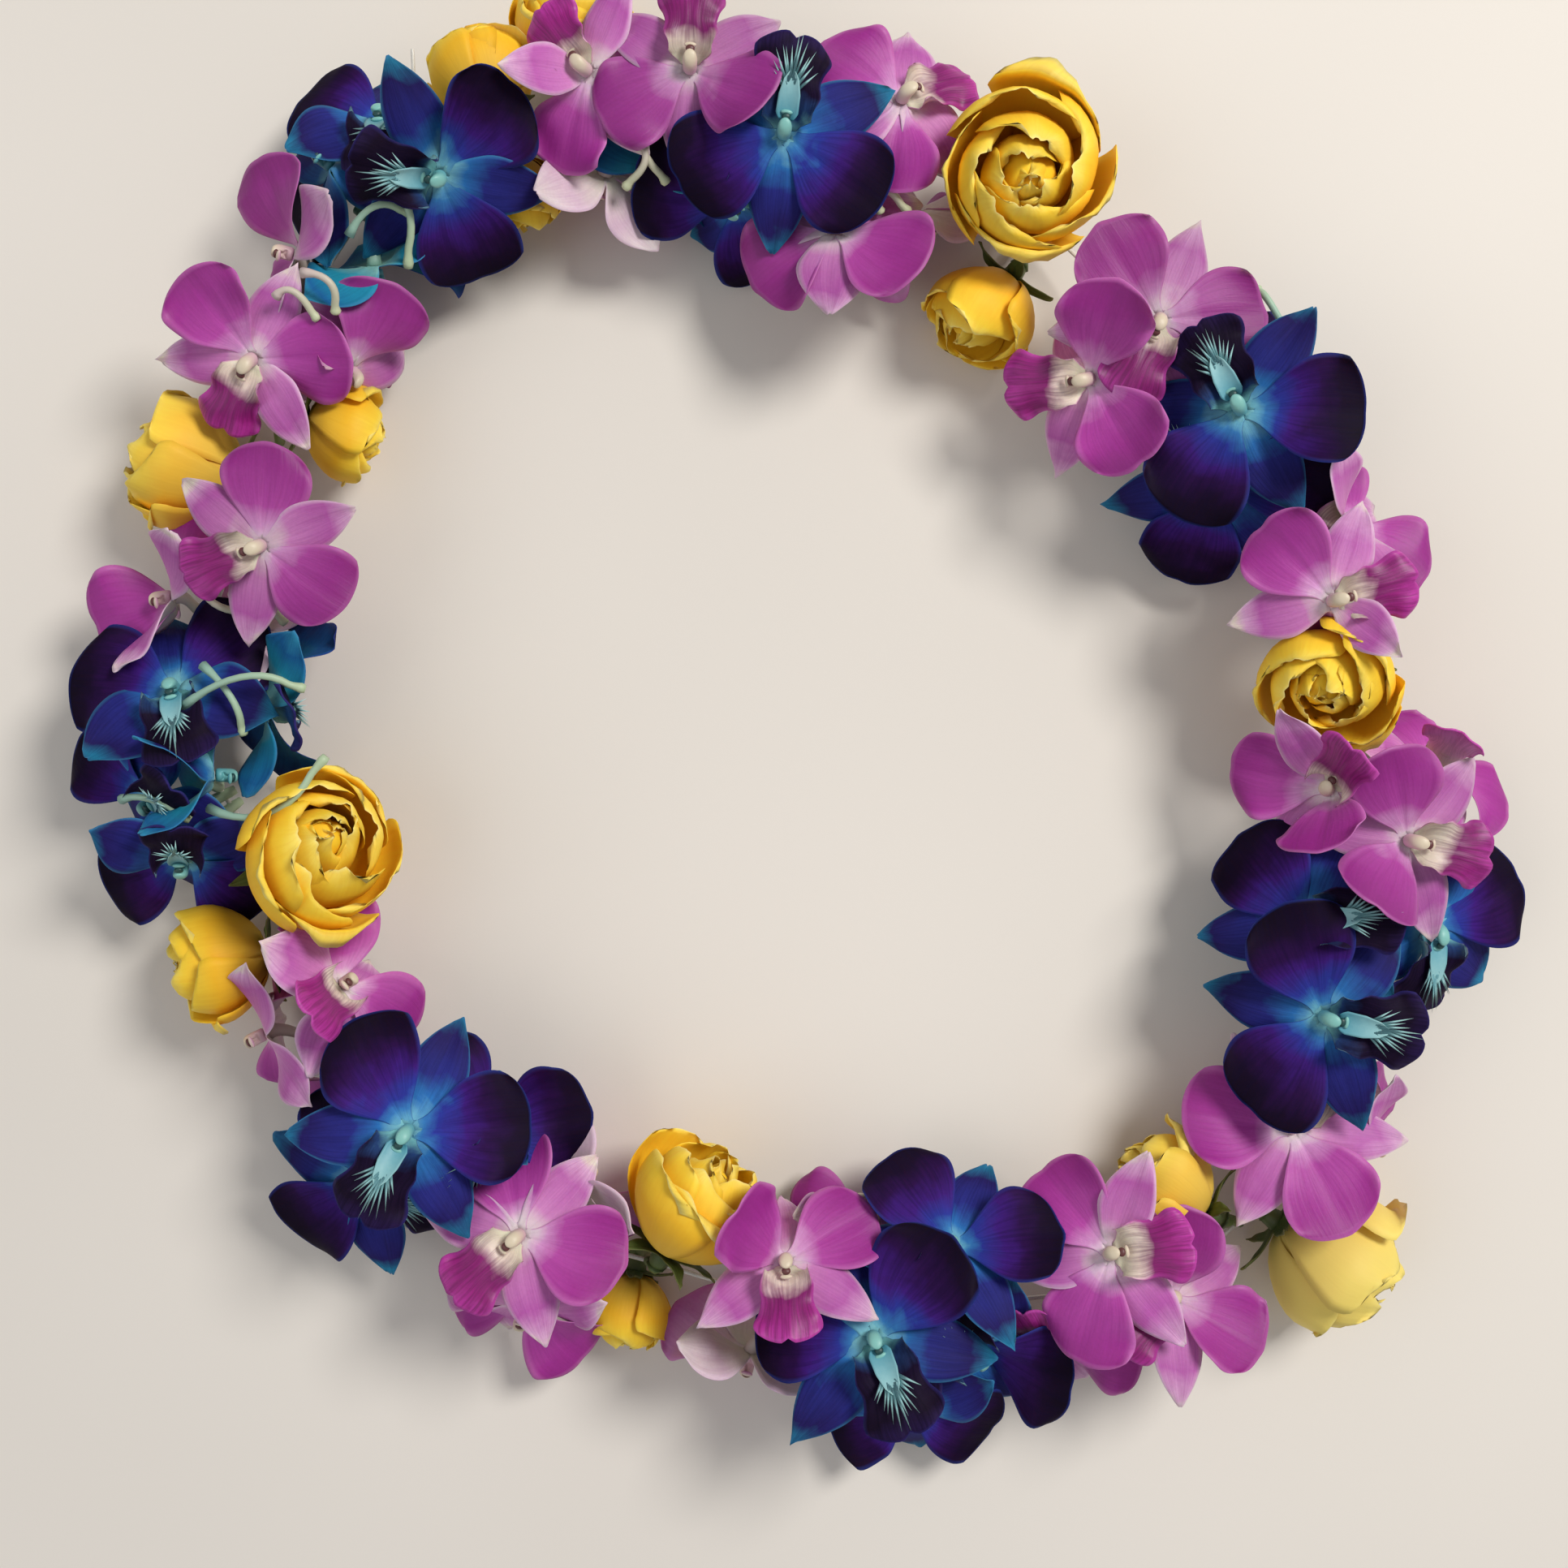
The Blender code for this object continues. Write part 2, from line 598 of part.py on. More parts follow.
def calyx_core(middle, turn, seat, way, margin=0.0):
    """(solid, roots): a rose's hip, neck and ovary, and the five flats that its sepals grow from."""
    solid = Solid()

    def tier(flat, z):
        return solid.ring(turn @ p + middle for p in polygon(5, flat + margin, z))

    high = ROSE_HUB.middle + ROSE_HUB.half_height
    low = ROSE_HUB.middle - ROSE_HUB.half_height
    top, rim = tier(ROSE_HUB.flat - 0.2, high + margin), tier(ROSE_HUB.flat + 0.2, low)
    hip = tier(HIP_RADIUS, -HIP_HEIGHT - margin)
    solid.close(top)
    solid.join(rim[::-1], hip[::-1])
    add_neck(solid, hip[::-1], turn @ Vector((0.0, 0.0, 1.0)), seat, way, HIP_OVARY, margin)
    return solid, [[rim[i], rim[(i + 1) % 5], top[(i + 1) % 5], top[i]] for i in range(5)]


def clear_way(make_core, middle, turn, seat, others):
    """The first way for a neck that clears the others, or else the first way and what it touches."""
    found = []
    ends = [body for body in others if body.name != "thread"]
    for pull in PULLS:
        for swing in SWINGS:
            wide = make_core(middle, turn, seat, (pull, swing), CLEARANCE)[0]
            whole = make_core(middle, turn, seat, (pull, swing))[0]
            if min(wide.lowest(), whole.lowest()) < FLOOR_GAP:
                continue
            name = touched(wide.body("core"), others) or touched(whole.body("core"), ends)
            if name is None:
                return (pull, swing), None
            found.append(name)
    return (PULLS[0], SWINGS[0]), " or ".join(sorted(set(found)))


# Rose petals


def rose_solid(size, base, turn):
    """Five outer petals, five inner ones and a rolled bud, all from one short stub."""
    width = size / 2
    height = ROSE_HEIGHT * size / ROSE_WIDTH
    solid = Solid()

    def tier(flat, z):
        return solid.ring(turn @ p + base for p in polygon(ROSE_SIDES, flat, z, 18))

    def petal(low, high, first, shape):
        left, mid, right = ((first + k) % ROSE_SIDES for k in range(3))
        ring = [low[left], low[mid], low[right], high[right], high[mid], high[left]]
        direction = 2 * math.pi * mid / ROSE_SIDES
        for height_share, width_share, half in shape:
            corners = []
            for inset, edges in ((0.0, (-1, 0, 1)), (ROSE_PETAL, (1, 0, -1))):
                for edge in edges:
                    angle = direction + math.radians(half) * edge
                    r = width * width_share * (1 + ROSE_SPIRAL * edge) - inset
                    z = height * height_share * (1 - 0.05 * abs(edge))
                    corners.append(turn @ Vector((r * math.cos(angle), r * math.sin(angle), z)) + base)
            following = solid.ring(corners)
            solid.join(ring, following)
            ring = following
        solid.faces += [(ring[0], ring[1], ring[4]), (ring[0], ring[4], ring[5])]
        solid.faces += [(ring[1], ring[2], ring[3]), (ring[1], ring[3], ring[4])]

    low, middle, high = tier(3.4, 0.0), tier(4.0, 2.6), tier(3.6, 5.2)
    solid.close(low[::-1])
    for k in range(0, ROSE_SIDES, 2):
        petal(low, middle, k, ROSE_OUTER)
        petal(middle, high, k + 1, ROSE_INNER)
    bud = high
    for height_share, width_share in ROSE_BUD:
        following = tier(width * width_share, height * height_share)
        solid.join(bud, following)
        bud = following
    solid.close(bud)
    return solid


# The whole garland


def rose_pose(bloom, resting):
    """(base, turn) of a rose. One that the garland rests on is lowered until the surface takes a
    little off its lowest ridge."""
    middle, turn = pose_of(bloom)
    if resting:
        turn = resting_turn(bloom)
    base = middle - turn @ Vector((0.0, 0.0, ROSE_MIDDLE * bloom.size / ROSE_WIDTH))
    if resting:
        base.z -= rose_solid(bloom.size, base, turn).lowest() + REST_CUT
    return base, turn


class Garland:
    """The solids of the whole garland by node, each kept clear of those placed before it."""

    def __init__(self):
        line = thread_line()
        self.bunches = bunches_of(BLOOMS)
        self.seats, knot = strung(line, self.bunches)
        strand = thread_tube(line, THREAD_RADIUS, THREAD_SIDES)
        ends = [knot_ball(knot.point)] + [tail_tube(knot.point, spot_of(*tail)) for tail in TAILS]
        self.solids = {"thread": [strand] + ends}
        self.kinds = {"thread": "thread"}
        self.strand = strand.body("thread")
        self.placed = [end.body("knot") for end in ends]
        self.missing = []
        self.lay_roses()
        cores = self.tie_cores()
        self.placed.append(self.strand)
        for core in sorted(cores, key=lambda core: core.order):
            self.grow_blades(core)

    def numbered_blooms(self):
        for bunch, blooms in self.bunches.items():
            for number, bloom in enumerate(blooms, 1):
                yield bunch, number, bloom

    def lay_roses(self):
        """The petals of each rose, in a node of their own."""
        self.roses = {}
        for bunch, number, bloom in self.numbered_blooms():
            if bloom.kind == "rose":
                name = f"rose_{bunch}{number}"
                base, turn = rose_pose(bloom, f"{bunch}{number}" in RESTING)
                solid = rose_solid(bloom.size, base, turn)
                body = solid.body(name)
                self.note(touched(body, self.placed + [self.strand]), name)
                self.placed.append(body)
                self.solids[name], self.kinds[name] = [solid], "rose"
                self.roses[bloom] = (name, base, turn)

    def tie_cores(self):
        """What ties each bloom to the thread, and what its blades then grow from."""
        cores = []
        for bunch, number, bloom in self.numbered_blooms():
            if bloom.kind == "rose":
                own, middle, turn = self.roses[bloom]
                make_core, node = calyx_core, f"calyxes_{bunch}"
            else:
                middle, turn = pose_of(bloom)
                own, make_core, node = "", orchid_core, f"orchids_{bunch}"
            others = [b for b in self.placed + [self.strand] if b.name not in (own, node)]
            way, hit = clear_way(make_core, middle, turn, self.seats[bloom], others)
            self.note(hit, f"{node} {number}")
            solid, roots = make_core(middle, turn, self.seats[bloom], way)
            self.solids.setdefault(node, []).append(solid)
            self.kinds[node] = "calyx" if bloom.kind == "rose" else bloom.kind
            body = solid.body(node)
            self.placed.append(body)
            order = (bloom.kind != "rose", bloom.tilt - bloom.height)
            cores.append(Core(bloom, f"{node} {number}", middle, turn, solid, roots, body, order))
        return cores

    def grow_blades(self, core):
        """The blades of one bloom. One that finds no room is left out and noted."""
        rose = core.bloom.kind == "rose"
        scale = core.bloom.size / (ROSE_WIDTH if rose else ORCHID_SPAN)
        others = [body for body in self.placed if body is not core.body]
        siblings = [core.body]
        for blade, root in zip(blades_of(core.bloom), core.roots):
            if blade is None:
                core.solid.close(root)
                continue
            corners = core.solid.corners(root)
            sections, free = bend_clear(core, blade, corners, scale, others, siblings)
            if sections:
                add_blade(core.solid, root, sections[1:])
                siblings.append(free.body(core.name))
                self.placed.append(blade_alone(sections).body(core.name))
            else:
                core.solid.close(root)
                self.missing.append(f"{core.name}: no room for the blade at {blade.angle} degrees")

    def note(self, hit, name):
        if hit:
            self.missing.append(f"{name}: no clear way past {hit}")


def material_of(kind):
    name = f"{kind} finish"
    material = bpy.data.materials.get(name)
    if material is None:
        material = bpy.data.materials.new(name)
        material.use_nodes = True
        shader = material.node_tree.nodes["Principled BSDF"]
        shader.inputs["Base Color"].default_value = (*COLOURS[kind], 1.0)
        shader.inputs["Roughness"].default_value = ROUGHNESS[kind]
        shader.inputs["Metallic"].default_value = 0.0
    return material


def object_of(name, solid):
    mesh = bpy.data.meshes.new(name)
    mesh.from_pydata([p * MM for p in solid.points], [], solid.faces)
    obj = bpy.data.objects.new(name, mesh)
    bpy.context.collection.objects.link(obj)
    return obj


def box_below(size, depth):
    """A slab whose top is the surface that the garland lies on."""
    solid = Solid()
    corners = ((-size, -size), (size, -size), (size, size), (-size, size))
    low = solid.ring((x, y, -depth) for x, y in corners)
    high = solid.ring((x, y, 0.0) for x, y in corners)
    solid.close(low[::-1])
    solid.join(low, high)
    solid.close(high)
    return solid


def guide(obj):
    obj.hide_render = True
    obj.display_type = "WIRE"
    return obj


def combined(obj, helpers, operation):
    """Joins the helpers to an object, or cuts them from it, and keeps the result as its mesh."""
    for helper in helpers:
        step = obj.modifiers.new(operation.lower(), "BOOLEAN")
        step.operation = operation
        step.object = helper
        step.solver = "MANIFOLD"
    view = bpy.context.evaluated_depsgraph_get()
    mesh = bpy.data.meshes.new_from_object(obj.evaluated_get(view))
    obj.modifiers.clear()
    obj.data = mesh


def make_nodes(solids, kinds):
    bore = guide(object_of("bore", thread_tube(thread_line(), BORE_RADIUS, BORE_SIDES)))
    surface = guide(object_of("surface", box_below(400.0, 20.0)))
    for name, bodies in solids.items():
        obj = object_of(name, bodies[0])
        helpers = [guide(object_of(f"{name} piece", body)) for body in bodies[1:]]
        if helpers:
            combined(obj, helpers, "UNION")
        if name.startswith(("orchids", "calyxes")):
            combined(obj, [bore], "DIFFERENCE")
        if name.removeprefix("rose_") in RESTING:
            combined(obj, [surface], "DIFFERENCE")
        for helper in helpers:
            bpy.data.objects.remove(helper)
        obj.data.materials.clear()
        obj.data.materials.append(material_of(kinds[name]))
    bpy.data.objects.remove(bore)
    bpy.data.objects.remove(surface)


def main():
    for obj in list(bpy.data.objects):
        bpy.data.objects.remove(obj)
    garland = Garland()
    make_nodes(garland.solids, garland.kinds)
    return garland.missing


if __name__ == "__main__":
    for line in main():
        print(line)
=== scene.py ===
# %% [markdown]
# # A garland of orchids and roses
#
# Fifty-eight orchid blooms and fourteen small roses, pierced by one thread and pushed close together
# into a ring. Each lesson below makes one thing that a garland maker handles: a petal, a lip, a
# stalk, a rose, the thread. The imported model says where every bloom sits, so nothing is placed by
# eye: each fine petal is bent along the plain blade that it stands for.

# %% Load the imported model
import math
import random
from collections import namedtuple

import bpy
import numpy as np
from mathutils import Matrix, Vector
from mathutils.kdtree import KDTree


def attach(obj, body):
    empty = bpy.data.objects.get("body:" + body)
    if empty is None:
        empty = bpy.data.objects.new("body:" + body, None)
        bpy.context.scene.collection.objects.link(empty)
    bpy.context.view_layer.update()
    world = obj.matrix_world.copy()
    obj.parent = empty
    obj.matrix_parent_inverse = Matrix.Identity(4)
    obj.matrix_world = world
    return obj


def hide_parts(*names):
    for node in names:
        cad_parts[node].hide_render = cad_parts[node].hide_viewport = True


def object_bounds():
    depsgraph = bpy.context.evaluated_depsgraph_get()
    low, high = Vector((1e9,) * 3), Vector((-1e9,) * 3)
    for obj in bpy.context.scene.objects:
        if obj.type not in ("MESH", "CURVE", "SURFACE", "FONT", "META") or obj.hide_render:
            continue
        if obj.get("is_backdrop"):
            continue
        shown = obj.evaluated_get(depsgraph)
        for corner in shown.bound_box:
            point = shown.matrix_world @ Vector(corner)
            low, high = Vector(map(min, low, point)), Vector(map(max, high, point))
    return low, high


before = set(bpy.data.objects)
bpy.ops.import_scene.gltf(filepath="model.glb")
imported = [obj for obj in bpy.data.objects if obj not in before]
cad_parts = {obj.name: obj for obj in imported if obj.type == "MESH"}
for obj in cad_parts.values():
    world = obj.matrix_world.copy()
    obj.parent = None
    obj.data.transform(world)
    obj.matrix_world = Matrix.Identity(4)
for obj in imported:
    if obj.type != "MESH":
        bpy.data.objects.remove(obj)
cad_box = [list(corner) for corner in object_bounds()]
print("nodes in the packed model:", len(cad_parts))

# %% [markdown]
# ## The plan of the garland
#
# A maker's plan lists each bloom: the bunch it is tied in, where its middle is, which way its top
# sepal points and how far it leans. The plan, and the rules that turn it into places, are those of
# the plain solids, so the fine pieces land exactly on them. Places are columns and rows of the
# photograph and heights above the surface. Sizes are in millimetres until they reach a mesh.

# %% Sizes that drive everything
MM = 0.001
PIXEL = 0.24  # real size of one pixel of the photograph, at the blooms' middle height
PHOTO_SIDE = 1932
MIDDLE_COLUMN, MIDDLE_ROW = 985, 884  # the ring's middle in the photograph
READING_HEIGHT = 35.0
EYE = Vector((0.0, 0.0, 532.0))
UP = Vector((0.0, 0.0, 1.0))

Bloom = namedtuple("Bloom", "kind column row height top lean tilt size")
Blade = namedtuple("Blade", "angle length stations pitch curl")
Seat = namedtuple("Seat", "point along")
Hub = namedtuple("Hub", "sides flat middle half_height")
Pose = namedtuple("Pose", "middle turn")

ORCHID_HUB = Hub(6, 3.0, 0.0, 1.2)
ROSE_HUB = Hub(5, 3.8, -1.1, 0.8)
ORCHID_SPAN = 60.0
ROSE_WIDTH, ROSE_HEIGHT, ROSE_MIDDLE = 46.0, 34.0, 16.0

# %% The thread's route and the knot
THREAD_ROUTE = (
    (850, 140, 24), (1050, 185, 20), (1160, 215, 12), (1265, 265, 9), (1340, 330, 15),
    (1410, 410, 22), (1510, 520, 24), (1600, 660, 22), (1655, 800, 6), (1680, 900, 14),
    (1680, 1000, 23), (1670, 1120, 24), (1635, 1260, 24), (1590, 1400, 22), (1520, 1510, 20),
    (1400, 1575, 23), (1260, 1600, 24), (1080, 1610, 24), (930, 1590, 22), (790, 1550, 20),
    (640, 1505, 22), (510, 1400, 24), (420, 1270, 22), (372, 1155, 10), (315, 1040, 12),
    (265, 960, 22), (245, 860, 24), (275, 720, 22), (340, 575, 11), (365, 410, 22),
    (470, 240, 24), (610, 165, 26), (720, 128, 24),
)
KNOT = (520, 205, 24)
TAILS = ((508, 60, 34), (480, 92, 30))
THREAD_POINTS = 64
BUNCH_SPACING, OVARY_SPACING = 10.0, 4.6

# %% Every bloom of the garland
PLAN = {  # bunch: kind, then the column, row, height, top, lean, tilt and size of each bloom
    "a": ("rose", (704, 38, 22, 0, 90, 78, 38), (592, 105, 33, 40, 110, 142, 32),
          (640, 235, 20, 80, 285, 92, 28)),
    "b1": ("purple", (725, 88, 44, 310, 150, 30, 60), (745, 215, 26, 240, 250, 120, 60)),
    "b2": ("purple", (850, 85, 46, 268, 90, 15, 62)),
    "c1": ("blue", (966, 165, 46, 262, 90, 5, 72)),
    "c2": ("blue", (905, 250, 30, 230, 250, 55, 68), (815, 215, 24, 180, 210, 110, 62)),
    "d1": ("purple", (1110, 125, 38, 200, 70, 40, 60)),
    "d2": ("purple", (1030, 285, 34, 266, 95, 45, 64), (1130, 270, 22, 300, 320, 105, 56)),
    "e": ("rose", (1265, 208, 38, 0, 60, 10, 50), (1220, 375, 24, 0, 235, 85, 36)),
    "f1": ("purple", (1343, 466, 40, 5, 200, 15, 66)),
    "f2": ("purple", (1428, 394, 44, 65, 30, 12, 66)),
    "g1": ("blue", (1528, 505, 48, 298, 100, 8, 74)),
    "g2": ("blue", (1500, 600, 34, 310, 270, 25, 72), (1586, 455, 28, 50, 45, 100, 62)),
    "h1": ("purple", (1642, 740, 50, 193, 0, 8, 62), (1665, 645, 34, 40, 50, 70, 62)),
    "i": ("rose", (1640, 838, 38, 0, 250, 32, 41)),
    "j1": ("purple", (1638, 972, 42, 228, 200, 22, 60)),
    "j2": ("purple", (1735, 1035, 44, 168, 345, 22, 64), (1770, 945, 28, 60, 60, 90, 58)),
    "k1": ("blue", (1612, 1140, 42, 188, 150, 15, 72), (1765, 1140, 34, 80, 330, 45, 70)),
    "k2": ("blue", (1632, 1252, 47, 170, 300, 12, 74)),
    "l1": ("purple", (1592, 1390, 34, 240, 60, 10, 68), (1680, 1405, 24, 330, 330, 105, 56)),
    "m": ("rose", (1440, 1462, 26, 0, 150, 78, 36), (1645, 1560, 28, 0, 325, 76, 46)),
    "n1": ("purple", (1368, 1545, 44, 188, 180, 10, 66)),
    "n2": ("purple", (1445, 1600, 38, 32, 30, 20, 60), (1300, 1655, 26, 290, 260, 60, 56)),
    "o1": ("blue", (1076, 1648, 48, 112, 90, 5, 76), (1120, 1735, 24, 270, 268, 62, 64)),
    "o2": ("blue", (1172, 1535, 38, 65, 70, 25, 68), (1200, 1665, 28, 320, 310, 75, 70)),
    "p1": ("purple", (968, 1555, 44, 92, 90, 18, 62)),
    "p2": ("purple", (925, 1665, 26, 250, 255, 115, 60), (1060, 1495, 26, 90, 90, 70, 54)),
    "q": ("rose", (850, 1485, 32, 0, 60, 68, 44), (772, 1625, 22, 0, 262, 86, 28)),
    "r1": ("purple", (640, 1522, 44, 42, 200, 8, 66)),
    "r2": ("purple", (645, 1610, 26, 260, 260, 95, 62), (715, 1462, 26, 40, 50, 100, 58)),
    "s1": ("blue", (503, 1393, 48, 62, 200, 8, 74)),
    "s2": ("blue", (600, 1395, 36, 60, 30, 58, 70), (450, 1455, 30, 160, 235, 35, 68)),
    "t1": ("purple", (330, 1272, 30, 200, 205, 100, 60), (485, 1315, 22, 300, 310, 100, 56)),
    "t2": ("purple", (420, 1215, 38, 40, 35, 60, 64)),
    "u": ("rose", (388, 1053, 38, 0, 20, 28, 48), (278, 1186, 24, 0, 190, 98, 36)),
    "v1": ("blue", (215, 850, 40, 100, 120, 40, 70), (330, 865, 30, 20, 5, 80, 66)),
    "v2": ("blue", (262, 955, 34, 10, 0, 95, 66), (190, 985, 28, 210, 220, 70, 64),
           (225, 1060, 30, 275, 265, 65, 62)),
    "w1": ("purple", (321, 672, 48, 22, 200, 10, 60)),
    "w2": ("purple", (215, 735, 32, 170, 185, 100, 64), (300, 780, 22, 270, 300, 105, 56)),
    "x": ("rose", (215, 568, 32, 0, 165, 72, 42), (422, 528, 22, 0, 340, 90, 30)),
    "y1": ("purple", (312, 442, 40, 65, 200, 25, 62)),
    "y2": ("purple", (430, 455, 32, 0, 320, 60, 62), (365, 315, 34, 150, 165, 95, 66)),
    "z1": ("blue", (540, 215, 44, 350, 300, 25, 72)),
    "z2": ("blue", (472, 150, 30, 90, 105, 60, 68), (412, 208, 34, 130, 140, 100, 70),
           (462, 328, 28, 275, 280, 95, 66)),
}
RESTING = ("e2", "m2", "q2", "x1")  # the roses that the garland rests on
bunches = {bunch: [Bloom(kind, *row) for row in rows] for bunch, (kind, *rows) in PLAN.items()}
kinds = [bloom.kind for blooms in bunches.values() for bloom in blooms]
print("bunches:", len(bunches), {kind: kinds.count(kind) for kind in ("purple", "blue", "rose")})

# %% [markdown]
# ## The camera, the surface and the light
#
# The photograph was taken from straight above, so the camera looks straight down from the eye that
# the plan was read from. A small lens shift frames the ring as the photograph does. The garland
# lies on plain warm paper. One broad soft light from the upper right gives the gentle shadows, and
# a weak one from the left and a pale world fill them in.

# %% The camera
LENS_WIDTH = 36.0
camera_data = bpy.data.cameras.new("camera")
camera_data.sensor_width = LENS_WIDTH
camera_data.lens = LENS_WIDTH * (EYE.z - READING_HEIGHT) / (PHOTO_SIDE * PIXEL)
camera_data.shift_x = (PHOTO_SIDE / 2 - MIDDLE_COLUMN) / PHOTO_SIDE
camera_data.shift_y = (MIDDLE_ROW - PHOTO_SIDE / 2) / PHOTO_SIDE
camera = bpy.data.objects.new("camera", camera_data)
camera.location = EYE * MM
bpy.context.collection.objects.link(camera)
bpy.context.scene.camera = camera
print(f"lens {camera_data.lens:.1f} mm, shift {camera_data.shift_x:.3f}, {camera_data.shift_y:.3f}")


# %% Colours, as a screen shows them
def shade(red, green, blue):
    """The linear colour that a shader wants, from the 0 to 255 values that a screen shows."""
    def linear(level):
        level /= 255
        return level / 12.92 if level <= 0.04045 else ((level + 0.055) / 1.055) ** 2.4
    return (linear(red), linear(green), linear(blue), 1.0)


# %% A recipe, which adds nodes to a material as they are needed
class Recipe:
    """One material, with short ways to read a mark on the mesh and to mix colours."""

    def __init__(self, name, roughness):
        self.material = bpy.data.materials.new(name)
        self.material.use_nodes = True
        self.tree = self.material.node_tree
        self.set("Roughness", roughness)

    def plug(self, socket, value):
        if isinstance(value, bpy.types.NodeSocket):
            self.tree.links.new(value, socket)
        else:
            socket.default_value = value

    def set(self, name, value):
        self.plug(self.tree.nodes["Principled BSDF"].inputs[name], value)

    def add(self, kind, inputs, output=0, **settings):
        """A new node, set up and with its inputs filled in. Gives back one of its outputs."""
        node = self.tree.nodes.new("ShaderNode" + kind)
        for name, value in settings.items():
            setattr(node, name, value)
        for place, value in inputs.items():
            self.plug(node.inputs[place], value)
        return node.outputs[output]

    def mark(self, name):
        """A number that the mesh carries at each corner."""
        return self.add("Attribute", {}, "Fac", attribute_name=name)

    def math(self, operation, first, second=0.0):
        return self.add("Math", {0: first, 1: second}, operation=operation)

    def plus(self, first, second):
        return self.math("ADD", first, second)

    def times(self, first, second):
        return self.math("MULTIPLY", first, second)

    def fan(self, x, y, z):
        """A place for a noise that follows the petal instead of the room."""
        return self.add("CombineXYZ", {0: x, 1: y, 2: z})

    def noise(self, scale, detail=3.0, distortion=0.0, where=None):
        if where is None:
            where = self.add("TexCoord", {}, "Object")
        inputs = {"Vector": where, "Scale": scale, "Detail": detail, "Distortion": distortion}
        return self.add("TexNoise", inputs, "Fac")

    def ramp(self, factor, *stops):
        """Colours, or plain numbers, at shares of the way."""
        node = self.tree.nodes.new("ShaderNodeValToRGB")
        steps = node.color_ramp.elements
        while len(steps) < len(stops):
            steps.new(0.5)
        for step, (place, colour) in zip(steps, stops):
            step.position = place
            step.color = shade(*colour) if isinstance(colour, tuple) else (colour, colour, colour, 1.0)
        self.plug(node.inputs[0], factor)
        return node.outputs[0]

    def blend(self, factor, first, second, mode="MIX"):
        first, second = (shade(*c) if isinstance(c, tuple) else c for c in (first, second))
        return self.add("Mix", {0: factor, 6: first, 7: second}, 2, data_type="RGBA", blend_type=mode)

    def dim(self, colour, tone):
        """A colour made darker or lighter by a number."""
        return self.blend(1.0, colour, self.fan(tone, tone, tone), "MULTIPLY")

    def glow(self, weight, reach):
        """Light that soaks in and comes out nearby, as it does in a petal; reach in millimetres."""
        self.set("Subsurface Weight", weight)
        self.set("Subsurface Radius", (1.0, 0.7, 0.35))
        self.set("Subsurface Scale", reach * MM)

    def relief(self, height, strength, depth):
        """Fine relief, this many metres deep."""
        bump = self.add("Bump", {"Strength": strength, "Distance": depth, "Height": height})
        self.set("Normal", bump)


# %% The paper that the garland lies on
def fresh(primitive, **sizes):
    """The object that a primitive's operator adds, with nothing else selected."""
    bpy.ops.object.select_all(action="DESELECT")
    primitive(**sizes)
    return bpy.context.object


def paper_finish():
    paper = Recipe("plain paper", 0.85)
    wide = paper.noise(2.5, 2.0)
    paper.set("Base Color", paper.ramp(wide, (0.3, (225, 219, 210)), (0.7, (234, 228, 219))))
    paper.set("Specular IOR Level", 0.2)
    paper.relief(paper.noise(900.0, 4.0), 0.15, 0.0001)
    return paper.material


floor = fresh(bpy.ops.mesh.primitive_plane_add, size=6.0)
floor.name = "paper"
floor.data.materials.append(paper_finish())
floor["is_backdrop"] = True


# %% Soft studio light
def soft_light(name, place, size, power, warmth):
    data = bpy.data.lights.new(name, "AREA")
    data.shape = "DISK"
    data.size = size
    data.energy = power
    data.color = warmth
    light = bpy.data.objects.new(name, data)
    light.location = place
    light.rotation_euler = (-Vector(place)).to_track_quat("-Z", "Y").to_euler()
    bpy.context.collection.objects.link(light)


soft_light("window", (0.95, 0.75, 1.4), 0.65, 26.5, (1.0, 0.975, 0.94))
soft_light("far wall", (-1.1, -0.3, 1.3), 1.4, 5.0, (0.97, 0.98, 1.0))
world = bpy.data.worlds.new("pale room")
world.use_nodes = True
air = world.node_tree.nodes["Background"].inputs
air["Color"].default_value = (0.95, 0.95, 0.98, 1.0)
air["Strength"].default_value = 0.34
bpy.context.scene.world = world
bpy.context.scene.view_settings.view_transform = "Standard"  # keeps the yellow as vivid as it is

# %% [markdown]
# ## Where each bloom sits and how it is turned
#
# A bloom in the plan becomes a middle and a turn. In its own axes it faces +Z and its top sepal
# points to +Y. A rose that carries the garland lies with one outer petal's ridge on the surface.


# %% From the plan to places
def spot_of(column, row, height):
    """The point at this height that is seen from the eye at this column and row."""
    shrink = PIXEL * (EYE.z - height) / (EYE.z - READING_HEIGHT)
    return Vector(((column - MIDDLE_COLUMN) * shrink, (MIDDLE_ROW - row) * shrink, height))


def middle_of(bloom):
    return spot_of(bloom.column, bloom.row, bloom.height)


def pose_of(bloom):
    """The middle of a bloom and how it is turned."""
    middle = middle_of(bloom)
    lean = math.radians(bloom.lean)
    hinge = Vector((-math.sin(lean), math.cos(lean), 0.0))
    to_eye = UP.rotation_difference(EYE - middle).to_matrix()
    tilted = Matrix.Rotation(math.radians(bloom.tilt), 3, hinge)
    return Pose(middle, to_eye @ tilted @ Matrix.Rotation(math.radians(bloom.top - 90), 3, "Z"))


# %% A rose that the garland rests on
RIDGE_SLOPE, RIDGE_TURN, REST_CUT = 11.0, 36.0, 0.55
OUTER_RIM = ((0.45, 0.86, 36), (0.97, 1.02, 29))  # share of height, share of half width, half angle


